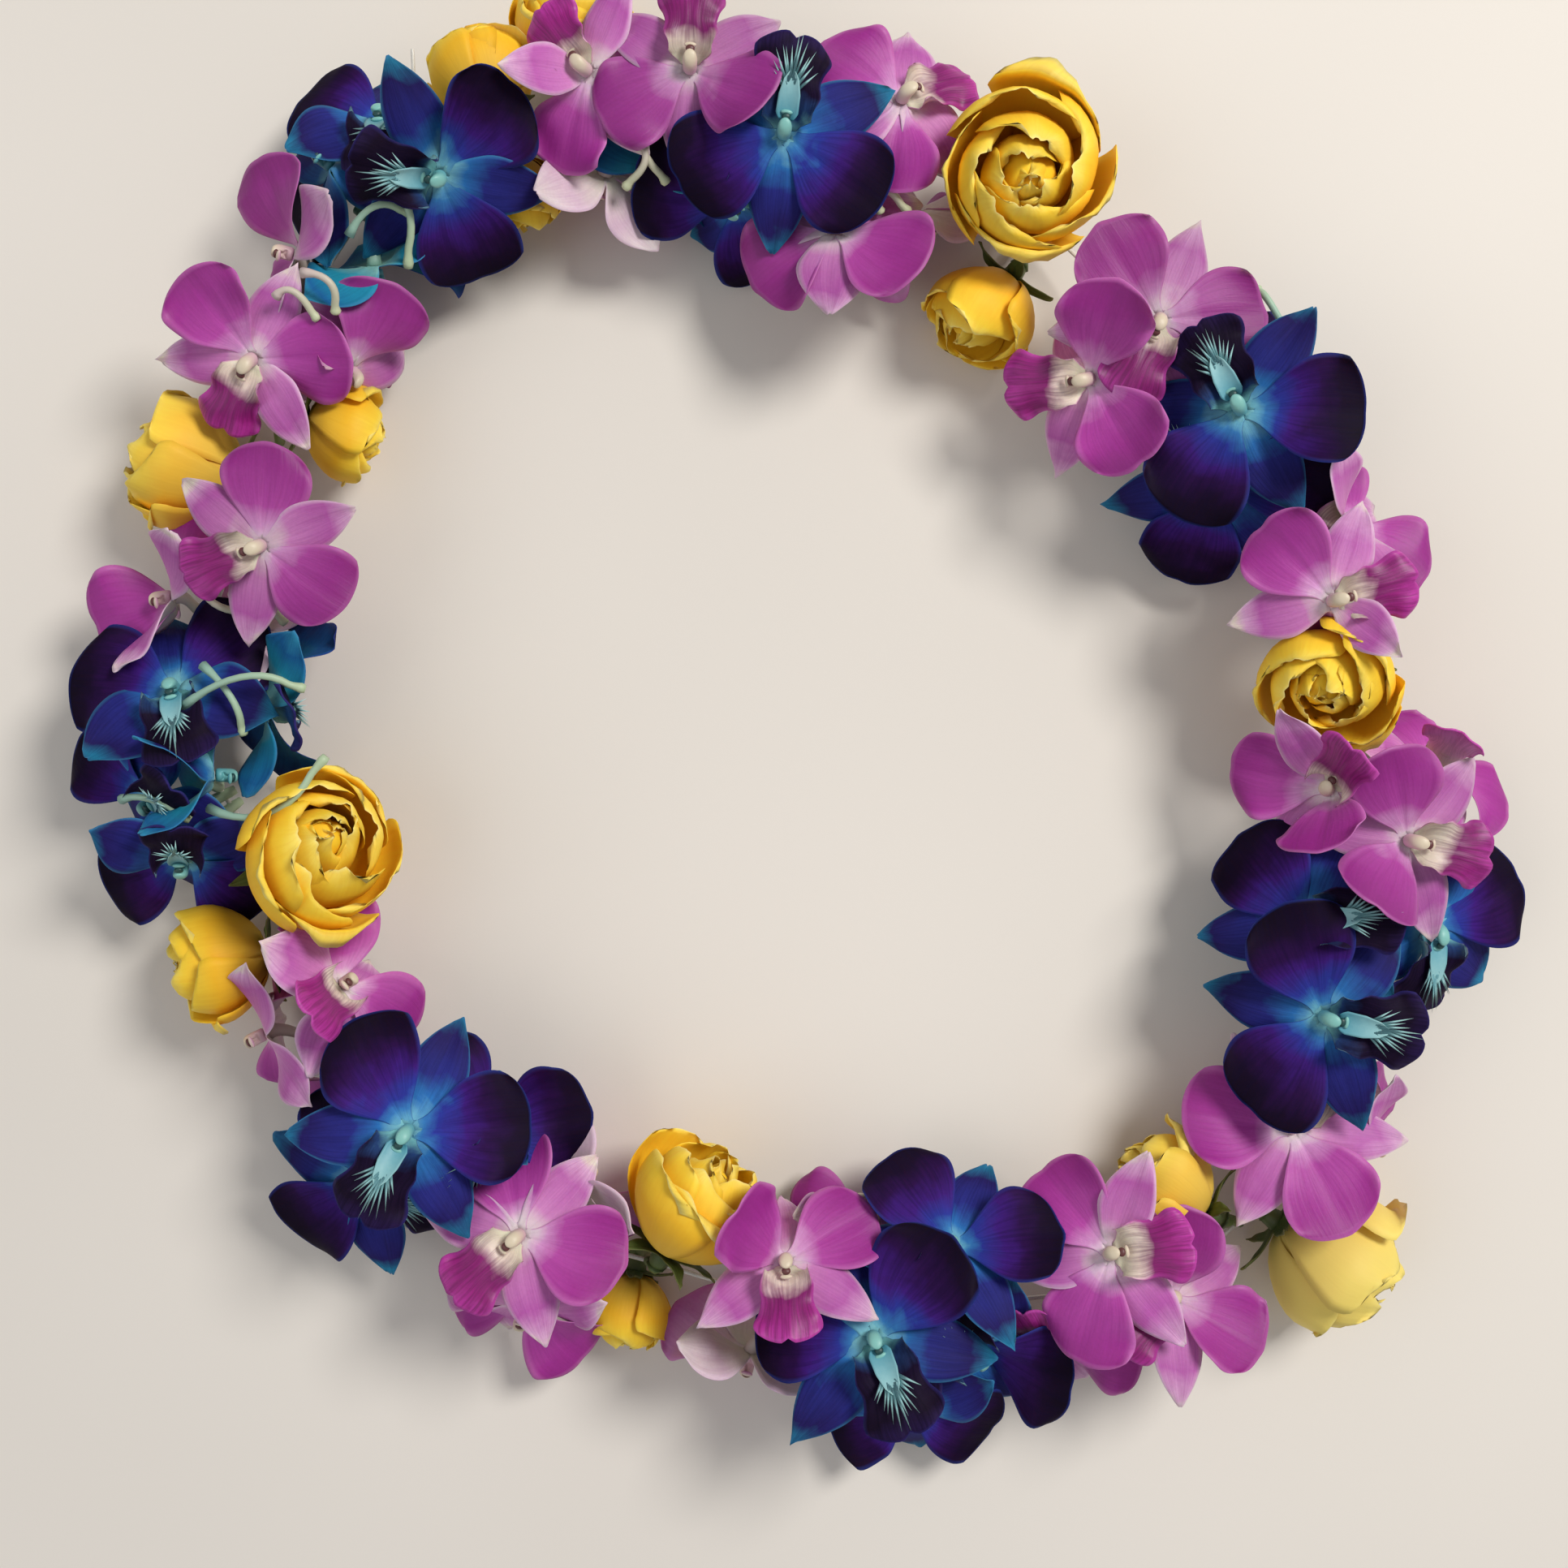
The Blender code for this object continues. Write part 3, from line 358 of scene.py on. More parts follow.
def resting_turn(bloom):
    """The turn of a rose that lies with the ridge of one outer petal level along the surface."""
    lean, lift = math.radians(bloom.lean), math.radians(RIDGE_SLOPE)
    axis = Vector((math.cos(lean) * math.cos(lift), math.sin(lean) * math.cos(lift), math.sin(lift)))
    down = (axis * axis.z - UP).normalized()
    ridge = math.radians(RIDGE_TURN)
    own_down = Vector((math.cos(ridge), math.sin(ridge), 0.0))
    own = Matrix((own_down, UP.cross(own_down), UP))
    return Matrix((down, axis.cross(down), axis)).transposed() @ own


def lowest_petal(size, base, turn):
    """How low the plain outer petals of a rose reach."""
    low = []
    for ridge in range(1, 10, 2):
        for height_share, width_share, half in OUTER_RIM:
            for edge in (-1, 0, 1):
                angle = math.radians(36 * ridge + half * edge)
                r = size / 2 * width_share * (1 + 0.07 * edge)
                z = ROSE_HEIGHT * size / ROSE_WIDTH * height_share * (1 - 0.05 * abs(edge))
                low.append((turn @ Vector((r * math.cos(angle), r * math.sin(angle), z)) + base).z)
    return min(low)


def rose_pose(bloom, resting):
    """A rose's pose, with its middle where the petals meet the green hip."""
    middle, turn = pose_of(bloom)
    if resting:
        turn = resting_turn(bloom)
    base = middle - turn @ Vector((0.0, 0.0, ROSE_MIDDLE * bloom.size / ROSE_WIDTH))
    if resting:
        base.z -= lowest_petal(bloom.size, base, turn) + REST_CUT
    return Pose(base, turn)


# %% [markdown]
# ## The thread, and where it pierces each bloom
#
# A needle runs the thread through the swollen neck behind each flower. The thread's line is a
# smooth closed curve through the plan's points. Each bunch is seated where the line passes nearest
# to it, and bunches that would crowd one another are slid apart along the thread.


# %% The thread's line
STEPS_BETWEEN = 40  # steps from one point of the route to the next, to measure the line with


def loop_point(points, position):
    """The point of a smooth closed curve through these points, at a position counted in points."""
    i = math.floor(position)
    t = position - i
    a, b, c, d = (points[(i + k) % len(points)] for k in (-1, 0, 1, 2))
    return (b * 2 + (c - a) * t + (a * 2 - b * 5 + c * 4 - d) * t**2 + (b * 3 - a - c * 3 + d) * t**3) / 2


def thread_line():
    """Evenly spaced points along the closed thread."""
    route = [spot_of(*place) for place in THREAD_ROUTE]
    walk = [loop_point(route, k / STEPS_BETWEEN) for k in range(len(route) * STEPS_BETWEEN + 1)]
    steps = [(walk[k + 1] - walk[k]).length for k in range(len(walk) - 1)]
    spacing = sum(steps) / THREAD_POINTS
    line = []
    gone = 0.0
    for point, step in zip(walk, steps):
        if gone >= len(line) * spacing - 1e-6 and len(line) < THREAD_POINTS:
            line.append(point)
        gone += step
    return line


line = thread_line()
line_length = sum((line[i] - line[i - 1]).length for i in range(len(line)))
print(f"the thread is {line_length:.0f} mm round")


# %% Seats on the thread
ROUNDS_OF_SLIDING = 300


def seat_at(position):
    """The seat this far along the thread."""
    share = (position % line_length) / line_length * len(line)
    i = int(share) % len(line)
    start, end = line[i], line[(i + 1) % len(line)]
    return Seat(start.lerp(end, share - int(share)), (end - start).normalized())


def nearest_position(spot):
    """How far along the thread it passes nearest this spot, seen from above."""
    steps = 4 * len(line)
    places = [k * line_length / steps for k in range(steps)]
    return min(places, key=lambda s: (seat_at(s).point - spot).xy.length)


def strung(bunches):
    """({bloom: Seat}, knot's seat), with crowded bunches slid apart."""
    wanted = {"knot": nearest_position(spot_of(*KNOT))}
    for bunch, blooms in bunches.items():
        wanted[bunch] = nearest_position(sum(map(middle_of, blooms), Vector()) / len(blooms))
    order = sorted(wanted, key=wanted.get)
    places = [wanted[bunch] for bunch in order]
    spans = [OVARY_SPACING * (len(bunches.get(bunch, "1")) - 1) for bunch in order]
    for _ in range(ROUNDS_OF_SLIDING):
        for i in range(len(order)):
            j = (i + 1) % len(order)
            gap = places[j] - places[i] + (line_length if j == 0 else 0.0)
            push = max(0.0, (spans[i] + spans[j]) / 2 + BUNCH_SPACING - gap) / 2
            places[i] -= push
            places[j] += push
    seats = {}
    for bunch, place, span in zip(order, places, spans):
        seat = seat_at(place)
        in_line = sorted(bunches.get(bunch, []),
                         key=lambda bloom: (middle_of(bloom) - seat.point).dot(seat.along))
        for k, bloom in enumerate(in_line):
            seats[bloom] = seat_at(place + k * OVARY_SPACING - span / 2)
    return seats, seat_at(places[order.index("knot")])


seats, knot_seat = strung(bunches)
print("seats:", len(seats))

# %% [markdown]
# ## Blanks: one sheet, one tube, one bead
#
# Every petal starts as the same thin sheet. A grid is added, its root is moved to the origin and
# its length scaled to one, and Solidify gives it two faces and a closed edge. A copy is then
# pressed into shape: its corners know how far across, how far along and on which face they are,
# and a short rule turns those three numbers into a place. The same numbers stay on the mesh as
# marks, so a finish can paint veins and rims that follow the petal.


# %% Helpers for blanks
BLANKS = []


def in_edit_mode(steps):
    bpy.ops.object.mode_set(mode="EDIT")
    steps()
    bpy.ops.object.mode_set(mode="OBJECT")


def turn_faces_outwards():
    bpy.ops.mesh.select_all(action="SELECT")
    bpy.ops.mesh.normals_make_consistent(inside=False)


def named_blank(name):
    """Takes the new primitive off the stage, as a master that is only copied."""
    blank = bpy.context.object
    blank.name = name
    blank.hide_render = True
    bpy.ops.object.shade_smooth()
    BLANKS.append(blank)
    return blank


def corners_of(blank):
    """The blank's corners as three arrays."""
    flat = np.empty(len(blank.data.vertices) * 3, np.float32)
    blank.data.vertices.foreach_get("co", flat)
    return flat.reshape(-1, 3).astype(float).T


# %% The sheet
def sheet_blank(name, across, along):
    """A thin sheet: x -1 to 1 across, y 0 at the root to 1 at the tip, z half a unit each way."""
    def shape():
        bpy.ops.transform.translate(value=(0.0, 1.0, 0.0))
        bpy.ops.transform.resize(value=(1.0, 0.5, 1.0), center_override=(0.0, 0.0, 0.0))

    sheet = fresh(bpy.ops.mesh.primitive_grid_add, x_subdivisions=across, y_subdivisions=along, size=2.0)
    in_edit_mode(shape)
    wall = sheet.modifiers.new("Wall", "SOLIDIFY")
    wall.thickness = 1.0
    wall.offset = 0.0
    bpy.ops.object.modifier_apply(modifier="Wall")
    return named_blank(name)


wide_sheet = sheet_blank("wide sheet", 20, 22)
slim_sheet = sheet_blank("slim sheet", 10, 20)
rose_sheet = sheet_blank("rose sheet", 14, 12)
print("corners of a wide sheet:", len(wide_sheet.data.vertices))


# %% The tube, the bead and the tuft
TUBE_LENGTHS = 14


def tube_blank(name, sides):
    """A closed tube round z, of radius 1, from z 0 to 1."""
    def shape():
        for _ in range(TUBE_LENGTHS):
            step = {"value": (0.0, 0.0, 1.0 / TUBE_LENGTHS)}
            bpy.ops.mesh.extrude_region_move(TRANSFORM_OT_translate=step)
        turn_faces_outwards()

    fresh(bpy.ops.mesh.primitive_circle_add, vertices=sides, radius=1.0, fill_type="NGON")
    in_edit_mode(shape)
    return named_blank(name)


stalk_tube = tube_blank("stalk tube", 8)
fresh(bpy.ops.mesh.primitive_uv_sphere_add, segments=14, ring_count=9, radius=1.0)
bead = named_blank("bead")
fresh(bpy.ops.mesh.primitive_cone_add, vertices=5, radius1=1.0, radius2=0.0, depth=1.0,
      location=(0.0, 0.0, 0.5))
bpy.ops.object.transform_apply(location=True)
tuft = named_blank("tuft")
print("corners:", {blank.name: len(blank.data.vertices) for blank in (stalk_tube, bead, tuft)})


# %% A pressed copy of a blank
PAPER_GAP, SOFTNESS = 0.3, 0.6  # how near the paper a petal comes, and how gently it bends there


def pressed(blank, places, marks, finish):
    """A copy with its own mesh, its corners at these places in millimetres."""
    piece = blank.copy()
    piece.data = blank.data.copy()
    piece.hide_render = False
    bpy.context.collection.objects.link(piece)
    piece.data.vertices.foreach_set("co", (places * MM).astype(np.float32).ravel())
    for name, values in marks.items():
        values = np.broadcast_to(np.asarray(values, np.float32), (len(places),))
        layer = piece.data.attributes.new(name, "FLOAT", "POINT")
        layer.data.foreach_set("value", np.ascontiguousarray(values))
    piece.data.materials.append(finish)
    return piece


def grown(blank, points, pose, marks, finish):
    """A pressed copy at its bloom's pose, bent up where the paper stops it."""
    middle, turn = pose
    points = points @ np.array(turn).T + np.array(middle)
    points[:, 2] = PAPER_GAP + SOFTNESS * np.logaddexp(0.0, (points[:, 2] - PAPER_GAP) / SOFTNESS)
    return pressed(blank, points, marks, finish)


# %% [markdown]
# ## Finding the blade that a petal follows
#
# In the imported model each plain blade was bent, turned aside or shortened until it cleared its
# neighbours. Those choices aren't written in the model, but they can be found again: of all the
# ways that a blade may lie, only one ends exactly at corners that the solid has. The fine petal
# then follows that blade's curve, so it keeps out of its neighbours' way too.

# %% The plain blades and the ways they may lie
PETAL_STATIONS = ((0.35, 8.0), (0.72, 11.2), (1.0, 4.6))
PLAIN_STATIONS = PETAL_STATIONS[1:]
SIDE_ON, FACE_DOWN = 40, 95  # tilts past which a bloom's blades are plainer
LIP_ANGLE, PETAL_ANGLES = 270, (30, 150)
SEPAL_STATIONS = ((0.5, 5.8), (1.0, 0.0))
LIP_STATIONS = ((0.5, 7.0), (1.0, 3.4))
ORCHID_BLADES = (
    Blade(30, 26.5, PETAL_STATIONS, 5, -14),
    Blade(90, 26.5, SEPAL_STATIONS, -4, -12),
    Blade(150, 26.5, PETAL_STATIONS, 5, -14),
    Blade(210, 27.0, SEPAL_STATIONS, -2, -16),
    Blade(LIP_ANGLE, 19.0, LIP_STATIONS, 30, -46),
    Blade(330, 27.0, SEPAL_STATIONS, -2, -16),
)
ROSE_BLADES = tuple(Blade(72 * k, 15.0, ((0.45, 2.6), (1.0, 0.0)), 12, -34) for k in range(5))
BLADE_THICKNESS, BLADE_START = 0.8, 1.1
BENDS = (0, -6, 6, -12, 12, -18, 18, -25, 25, -32, 32, -40, 40, -48, 48, -57, 57, 66, -66, 75)
REACHES = (1.0, 0.86, 0.72, 0.58, 0.44, 0.32, 0.22)
SIDESTEPS = (0, 8, -8, 16, -16)
SAME_PLACE = 0.06  # millimetres


# %% The blades of one bloom
def blades_of(bloom):
    """A bloom seen from the side has plainer petals, and one turned to the paper has no lip."""
    for blade in ORCHID_BLADES:
        if blade.stations is PETAL_STATIONS and bloom.tilt >= SIDE_ON:
            blade = blade._replace(stations=PLAIN_STATIONS)
        if blade.angle != LIP_ANGLE or bloom.tilt < FACE_DOWN:
            yield blade


# %% Where a plain blade ends
def plain_end(hub, blade, scale, bend, aside, reach, twist):
    """The corners of a plain blade's last section, in the bloom's own axes."""
    angle = math.radians(blade.angle + aside)
    outward = Vector((math.cos(angle), math.sin(angle), 0.0))
    side = Vector((-math.sin(angle), math.cos(angle), 0.0))
    length = blade.length * scale * reach
    middle = outward * hub.flat + UP * hub.middle
    before = 0.0
    for share in (BLADE_START / length, *(share for share, _ in blade.stations)):
        slope = math.radians(blade.pitch + bend + blade.curl * (share + before) / 2)
        middle = middle + (outward * math.cos(slope) + UP * math.sin(slope)) * length * (share - before)
        before = share
    here = math.radians(blade.pitch + bend + blade.curl)
    normal = UP * math.cos(here) - outward * math.sin(here)
    roll = math.radians(twist)
    across = side * math.cos(roll) + normal * math.sin(roll)
    normal = normal * math.cos(roll) - side * math.sin(roll)
    half = across * blade.stations[-1][1] * scale * math.sqrt(reach)
    thick = normal * BLADE_THICKNESS / 2
    return [middle - half - thick, middle + half + thick]


# %% The curve of a blade
class Curve:
    """The line that a blade follows out from its hub, in the bloom's own axes."""

    STEPS = 64
    ROOT = 3.0  # a petal's front turns from the hub's to its own within this distance

    def __init__(self, hub, blade, scale, bend, aside, reach, twist):
        self.angle = math.radians(blade.angle + aside)
        self.length = blade.length * scale * reach
        self.reach, self.twist, self.roll = reach, twist, 0.0
        self.start, self.curl = blade.pitch + bend, blade.curl
        self.shares = np.linspace(0.0, 1.0, self.STEPS + 1)
        slope = np.radians(self.start + self.curl * (self.shares[1:] + self.shares[:-1]) / 2)
        step = self.length / self.STEPS
        self.out = hub.flat + np.concatenate([[0.0], np.cumsum(np.cos(slope)) * step])
        self.up = hub.middle + np.concatenate([[0.0], np.cumsum(np.sin(slope)) * step])

    def at(self, distance, aside, lift):
        """Points this far out from the hub's flat, this far to one side and this far off the front."""
        share = np.clip(distance / self.length, 0.0, 1.0)
        here = np.radians(self.start + self.curl * share) * np.clip(distance / self.ROOT, 0.0, 1.0)
        past = np.maximum(distance - self.length, 0.0)
        roll = np.radians(self.twist * share + self.roll * np.minimum(1.5 * share, 1.0))
        side = aside * np.cos(roll) - lift * np.sin(roll)
        rise = aside * np.sin(roll) + lift * np.cos(roll)
        out = np.interp(share, self.shares, self.out) + np.minimum(distance, 0.0)
        out = out + past * np.cos(here) - rise * np.sin(here)
        up = np.interp(share, self.shares, self.up) + past * np.sin(here) + rise * np.cos(here)
        x = out * math.cos(self.angle) - side * math.sin(self.angle)
        y = out * math.sin(self.angle) + side * math.cos(self.angle)
        return np.stack([x, y, up], axis=1)


# %% How a petal seen edge on rolls to show its face
MOST_ROLL, ROLL_SHARE = 48.0, 0.8


def roll_to_eye(curve, turn):
    """Degrees, the shorter way round, since petals in a crowd are pressed flat by their neighbours."""
    side = turn @ Vector((-math.sin(curve.angle), math.cos(curve.angle), 0.0))
    face = turn @ UP
    front, back = (math.degrees(math.atan2(-side.z * sign, face.z * sign)) for sign in (1, -1))
    return max(-MOST_ROLL, min(MOST_ROLL, min(front, back, key=abs) * ROLL_SHARE))


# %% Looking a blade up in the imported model
def corner_finder(node):
    mesh = bpy.data.objects[node].data
    finder = KDTree(len(mesh.vertices))
    for i, vertex in enumerate(mesh.vertices):
        finder.insert(vertex.co / MM, i)
    finder.balance()
    return finder


def is_there(finder, corners, enough=all):
    return enough(finder.find(corner)[2] < SAME_PLACE for corner in corners)


def curve_of(finder, hub, blade, scale, bloom, pose):
    """The curve of a bloom's blade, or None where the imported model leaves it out."""
    middle, turn = pose
    luck = random.Random(bloom.column * 1000 + blade.angle)
    twist = luck.uniform(-9, 9)
    own_bend = luck.uniform(-5, 5)
    ways = [(hub, blade, scale, bend + own_bend, aside, reach, twist)
            for reach in REACHES for aside in SIDESTEPS for bend in BENDS]
    for enough in (all, any):  # one corner of a tip may be buried in the blade beside it
        for way in ways:
            if is_there(finder, [turn @ corner + middle for corner in plain_end(*way)], enough):
                return Curve(*way)
    return None


# %% [markdown]
# ## Finishes for petals
#
# A fresh petal is never one colour. It is pale where it grows from the middle and deepest near the
# rim, fine veins fan out from its root, and its back is paler and duller than its front. All of
# that follows the petal, so the finishes read the marks that the pressing leaves: along, across and
# back. A fourth mark, luck, shifts each bloom a little, because no two have opened equally far.


# %% A petal's finish
def petal_finish(name, front, back, rim, vein, look):
    """look: roughness, how strongly the veins show, where the rim colour begins, and the gloss."""
    roughness, vein_strength, rim_start, gloss = look
    petal = Recipe(name, roughness)
    along, across, luck = petal.mark("along"), petal.mark("across"), petal.mark("luck")
    fan = petal.fan(petal.times(across, 7.0), petal.times(along, 0.9), petal.times(luck, 37.0))
    veins = petal.noise(2.2, 3.0, 0.3, fan)
    cells = petal.noise(1100.0, 2.0)
    blotch = petal.noise(75.0, 4.0, 0.4)
    drift = petal.plus(along, petal.times(petal.plus(blotch, -0.5), 0.55))
    past_root = petal.ramp(along, (0.12, 0.2), (0.45, 1.0))
    shown = petal.times(petal.ramp(veins, (0.36, 1.0), (0.60, 0.0)), past_root)
    colour = petal.blend(petal.times(shown, vein_strength), petal.ramp(drift, *front), vein)
    behind = petal.blend(petal.times(shown, 0.5 * vein_strength), petal.ramp(drift, *back), vein)
    edge = petal.math("MAXIMUM", petal.math("POWER", petal.math("ABSOLUTE", across), 4.0),
                      petal.math("POWER", along, 14.0))
    edge = petal.times(petal.ramp(edge, (rim_start, 0.0), (1.0, 1.0)), 0.75)
    colour = petal.blend(edge, colour, rim)
    behind = petal.blend(petal.times(edge, 0.8), behind, rim)
    tone = petal.plus(petal.plus(0.74, petal.times(luck, 0.30)), petal.times(blotch, 0.22))
    tone = petal.times(tone, petal.plus(0.92, petal.times(cells, 0.16)))
    petal.set("Base Color", petal.dim(petal.blend(petal.mark("back"), colour, behind), tone))
    petal.set("Specular IOR Level", gloss)
    petal.glow(0.12, 1.5)
    petal.relief(petal.plus(veins, petal.times(cells, 0.35)), 0.35, 0.00025)
    return petal.material


# %% Purple and blue petals
LEAVES = {  # front from root to tip, back from root to tip, rim, veins, and the look
    "purple": {
        "petal": (
            ((0.0, (230, 214, 218)), (0.16, (204, 142, 194)), (0.36, (172, 66, 156)),
             (0.72, (154, 42, 138)), (1.0, (140, 34, 124))),
            ((0.0, (220, 210, 206)), (0.4, (206, 172, 196)), (0.95, (176, 96, 164))),
            (196, 112, 180), (136, 34, 120), (0.5, 0.30, 0.45, 0.35)),
        "sepal": (
            ((0.0, (222, 206, 208)), (0.25, (196, 122, 182)), (0.65, (176, 86, 164)),
             (0.9, (206, 160, 196)), (1.0, (216, 206, 190))),
            ((0.0, (214, 210, 194)), (0.5, (208, 180, 196)), (1.0, (214, 202, 200))),
            (222, 190, 212), (150, 56, 138), (0.5, 0.28, 0.4, 0.35)),
        "lip": (
            ((0.0, (222, 220, 192)), (0.30, (222, 204, 192)), (0.46, (128, 18, 102)),
             (0.75, (146, 24, 118)), (1.0, (176, 50, 150))),
            ((0.0, (224, 218, 196)), (0.4, (204, 158, 188)), (1.0, (176, 76, 158))),
            (186, 70, 164), (92, 8, 70), (0.45, 0.55, 0.45, 0.4)),
    },
    "blue": {
        "petal": (
            ((0.0, (126, 198, 212)), (0.12, (58, 122, 184)), (0.24, (46, 56, 150)),
             (0.42, (62, 28, 118)), (0.62, (44, 15, 70)), (0.82, (26, 10, 38)), (1.0, (18, 8, 26))),
            ((0.0, (150, 206, 196)), (0.3, (44, 140, 168)), (0.7, (24, 84, 140)), (1.0, (30, 40, 96))),
            (40, 56, 136), (16, 8, 40), (0.6, 0.35, 0.7, 0.06)),
        "sepal": (
            ((0.0, (134, 202, 210)), (0.22, (44, 112, 180)), (0.45, (40, 44, 128)),
             (0.8, (34, 26, 90)), (1.0, (36, 120, 156))),
            ((0.0, (152, 208, 196)), (0.4, (36, 144, 172)), (0.8, (28, 96, 152)), (1.0, (50, 140, 170))),
            (60, 130, 178), (16, 12, 56), (0.6, 0.30, 0.6, 0.1)),
        "lip": (
            ((0.0, (126, 196, 196)), (0.2, (44, 70, 120)), (0.36, (28, 16, 44)),
             (0.8, (26, 14, 36)), (1.0, (40, 26, 70))),
            ((0.0, (140, 200, 192)), (0.5, (40, 80, 130)), (1.0, (40, 34, 92))),
            (48, 44, 110), (10, 4, 24), (0.6, 0.5, 0.7, 0.06)),
    },
}
FINISHES = {kind: {part: petal_finish(f"{kind} orchid {part}", *colours) for part, colours in parts.items()}
            for kind, parts in LEAVES.items()}
print("petal finishes:", {kind: list(parts) for kind, parts in FINISHES.items()})


# %% Columns, crests, stalks and caps
FLESH = {  # colour at the root, colour at the tip, the painted shade for the column's hollow and mouth, and roughness
    "purple": {
        "column": ((206, 158, 186), (216, 202, 176), (96, 52, 52), 0.45),
        "cap": ((200, 176, 160), (214, 200, 172), (110, 10, 90), 0.6),
        "stalk": ((206, 186, 182), (196, 202, 166), (150, 140, 100), 0.5),
    },
    "blue": {
        "column": ((84, 166, 180), (130, 192, 184), (30, 70, 70), 0.45),
        "cap": ((112, 176, 170), (150, 200, 186), (24, 12, 50), 0.6),
        "stalk": ((144, 184, 168), (178, 198, 162), (120, 130, 110), 0.5),
        "crest": ((66, 150, 172), (164, 208, 206), (24, 12, 50), 0.5),
    },
}


def flesh_finish(name, low, high, painted_shade, roughness):
    """Smooth waxy flesh, from one colour at the root to another at the tip, with painted shade where the
    back mark is set.
    """
    flesh = Recipe(name, roughness)
    grain = flesh.noise(700.0, 3.0)
    along = flesh.plus(flesh.mark("along"), flesh.times(grain, 0.2))
    colour = flesh.ramp(along, (0.1, low), (0.95, high))
    # where the back mark is set, the colour is painted shade: inside a column's hollow and on its mouth
    flesh.set("Base Color", flesh.blend(flesh.mark("back"), colour, painted_shade))
    flesh.relief(grain, 0.3, 0.0002)
    return flesh.material


for kind, parts in FLESH.items():
    for part, look in parts.items():
        FINISHES[kind][part] = flesh_finish(f"{kind} orchid {part}", *look)
print("finishes of a blue orchid:", len(FINISHES["blue"]))

# %% [markdown]
# ## An orchid
#
# Two broad petals stand in front of three pointed sepals, and the lowest petal is a lip whose side
# lobes fold up round a small waxy column. Each is a pressed sheet: an outline says how wide it is
# along its length, and small lifts add the cupping, the creased middle and the ruffled rim. The
# luck of each bloom is drawn from its own number, so every run gives the same garland.


# %% Outlines
OUTLINE_STEPS = 12  # steps from one knot of an outline to the next


def outline(*knots):
    """(shares, half widths) of a smooth rounded outline through these knots, root first."""
    behind, ahead = knots[1], knots[-2]
    points = [Vector((-behind[0], behind[1])), *map(Vector, knots), Vector((ahead[0], -ahead[1]))]
    steps = OUTLINE_STEPS * (len(knots) - 1) + 1
    walk = [loop_point(points, 1 + k / OUTLINE_STEPS) for k in range(steps)]
    return np.maximum.accumulate([p.x for p in walk]), np.array([p.y for p in walk])


Form = namedtuple("Form", "outline tip cup ripple crease wall")
PETAL = Form(outline((0, 2.2), (0.12, 3.4), (0.28, 7.6), (0.45, 11.4), (0.62, 13.0), (0.78, 12.2),
                     (0.90, 9.2), (0.97, 5.0), (1, 0)), 0.80, 0.20, 1.7, 0.45, 0.5)
SEPAL = Form(outline((0, 2.6), (0.18, 5.2), (0.38, 7.4), (0.58, 6.9), (0.76, 4.8), (0.90, 2.2),
                     (0.97, 0.8), (1, 0)), 0.94, -0.10, 0.6, 0.45, 0.55)
LIP = Form(outline((0, 2.8), (0.1, 6.4), (0.22, 9.8), (0.34, 9.6), (0.46, 7.4), (0.58, 7.8),
                   (0.72, 9.4), (0.84, 9.2), (0.93, 6.6), (0.98, 3.4), (1, 0)), 0.82, 0.0, 1.0, 0.0, 0.6)
INSET = 1.8  # a petal begins this far inside its hub's flat
ANY_PHASE = (0, 6.3)  # a wave may begin anywhere in its round


def sheet_lines(form, curve, scale, across, along):
    """How far along each corner is, and the half width of its row, so the rim follows the outline."""
    shares, widths = form.outline
    corner = np.interp(form.tip, shares, widths)
    past = shares >= form.tip
    tip_row = np.interp(np.abs(across) * corner, widths[past][::-1], shares[past][::-1])
    half = np.interp(along - (1 - form.tip) * along**2, shares, widths)
    return along - (1 - tip_row) * along**2, half * scale * math.sqrt(curve.reach)


widths = [round(2 * max(form.outline[1]), 1) for form in (PETAL, SEPAL, LIP)]
print("widest petal, sepal and lip:", widths, "mm")


# %% Pressing a petal or a sepal
def petal_shape(blank, form, curve, scale, luck, fullness=1.0, reach=1.0):
    """(corners in the bloom's own axes, marks) of a sheet pressed along a blade's curve."""
    across, along, face = corners_of(blank)
    share, half = sheet_lines(form, curve, scale * fullness, across, along)
    notch = luck.uniform(-0.03, 0.04) * np.exp(-(across / 0.2) ** 2) * along**8
    distance = (share - notch) * (curve.length * reach + INSET) - INSET
    phase = np.where(across > 0, luck.uniform(*ANY_PHASE), luck.uniform(*ANY_PHASE))
    waves = luck.uniform(0.8, 1.9)
    bowl = half * across**2 * np.sin(math.pi * np.minimum(share * 1.1, 1))
    lift = form.cup * luck.uniform(-0.8, 1.6) * bowl
    one_side = luck.uniform(-0.6, 0.9) * half * np.maximum(across * luck.choice((-1, 1)), 0) ** 3
    lift += form.cup * one_side * along
    lift += form.ripple * scale * np.abs(across) ** 2.2 * along * np.sin(6.28 * waves * along + phase)
    lift += form.ripple * 0.8 * scale * along**3 * np.sin(2.6 * across + luck.uniform(*ANY_PHASE))
    lift -= form.crease * np.exp(-(across / 0.14) ** 2) * np.sin(math.pi * np.clip(along, 0, 1)) ** 0.5
    wall = form.wall * (1 - 0.5 * across**4) * (1 - 0.35 * along**4)
    aside = -across * half + luck.uniform(-0.07, 0.07) * curve.length * along**2
    points = curve.at(distance, aside, lift + face * wall)
    return points, {"along": along, "across": across, "back": face < 0}


# %% Pressing a lip
LIP_REACH = 1.12  # a lip's thin front lobe reaches this much further than the plain blade
LOBE_HEIGHT = 6.5  # how high its side lobes fold up


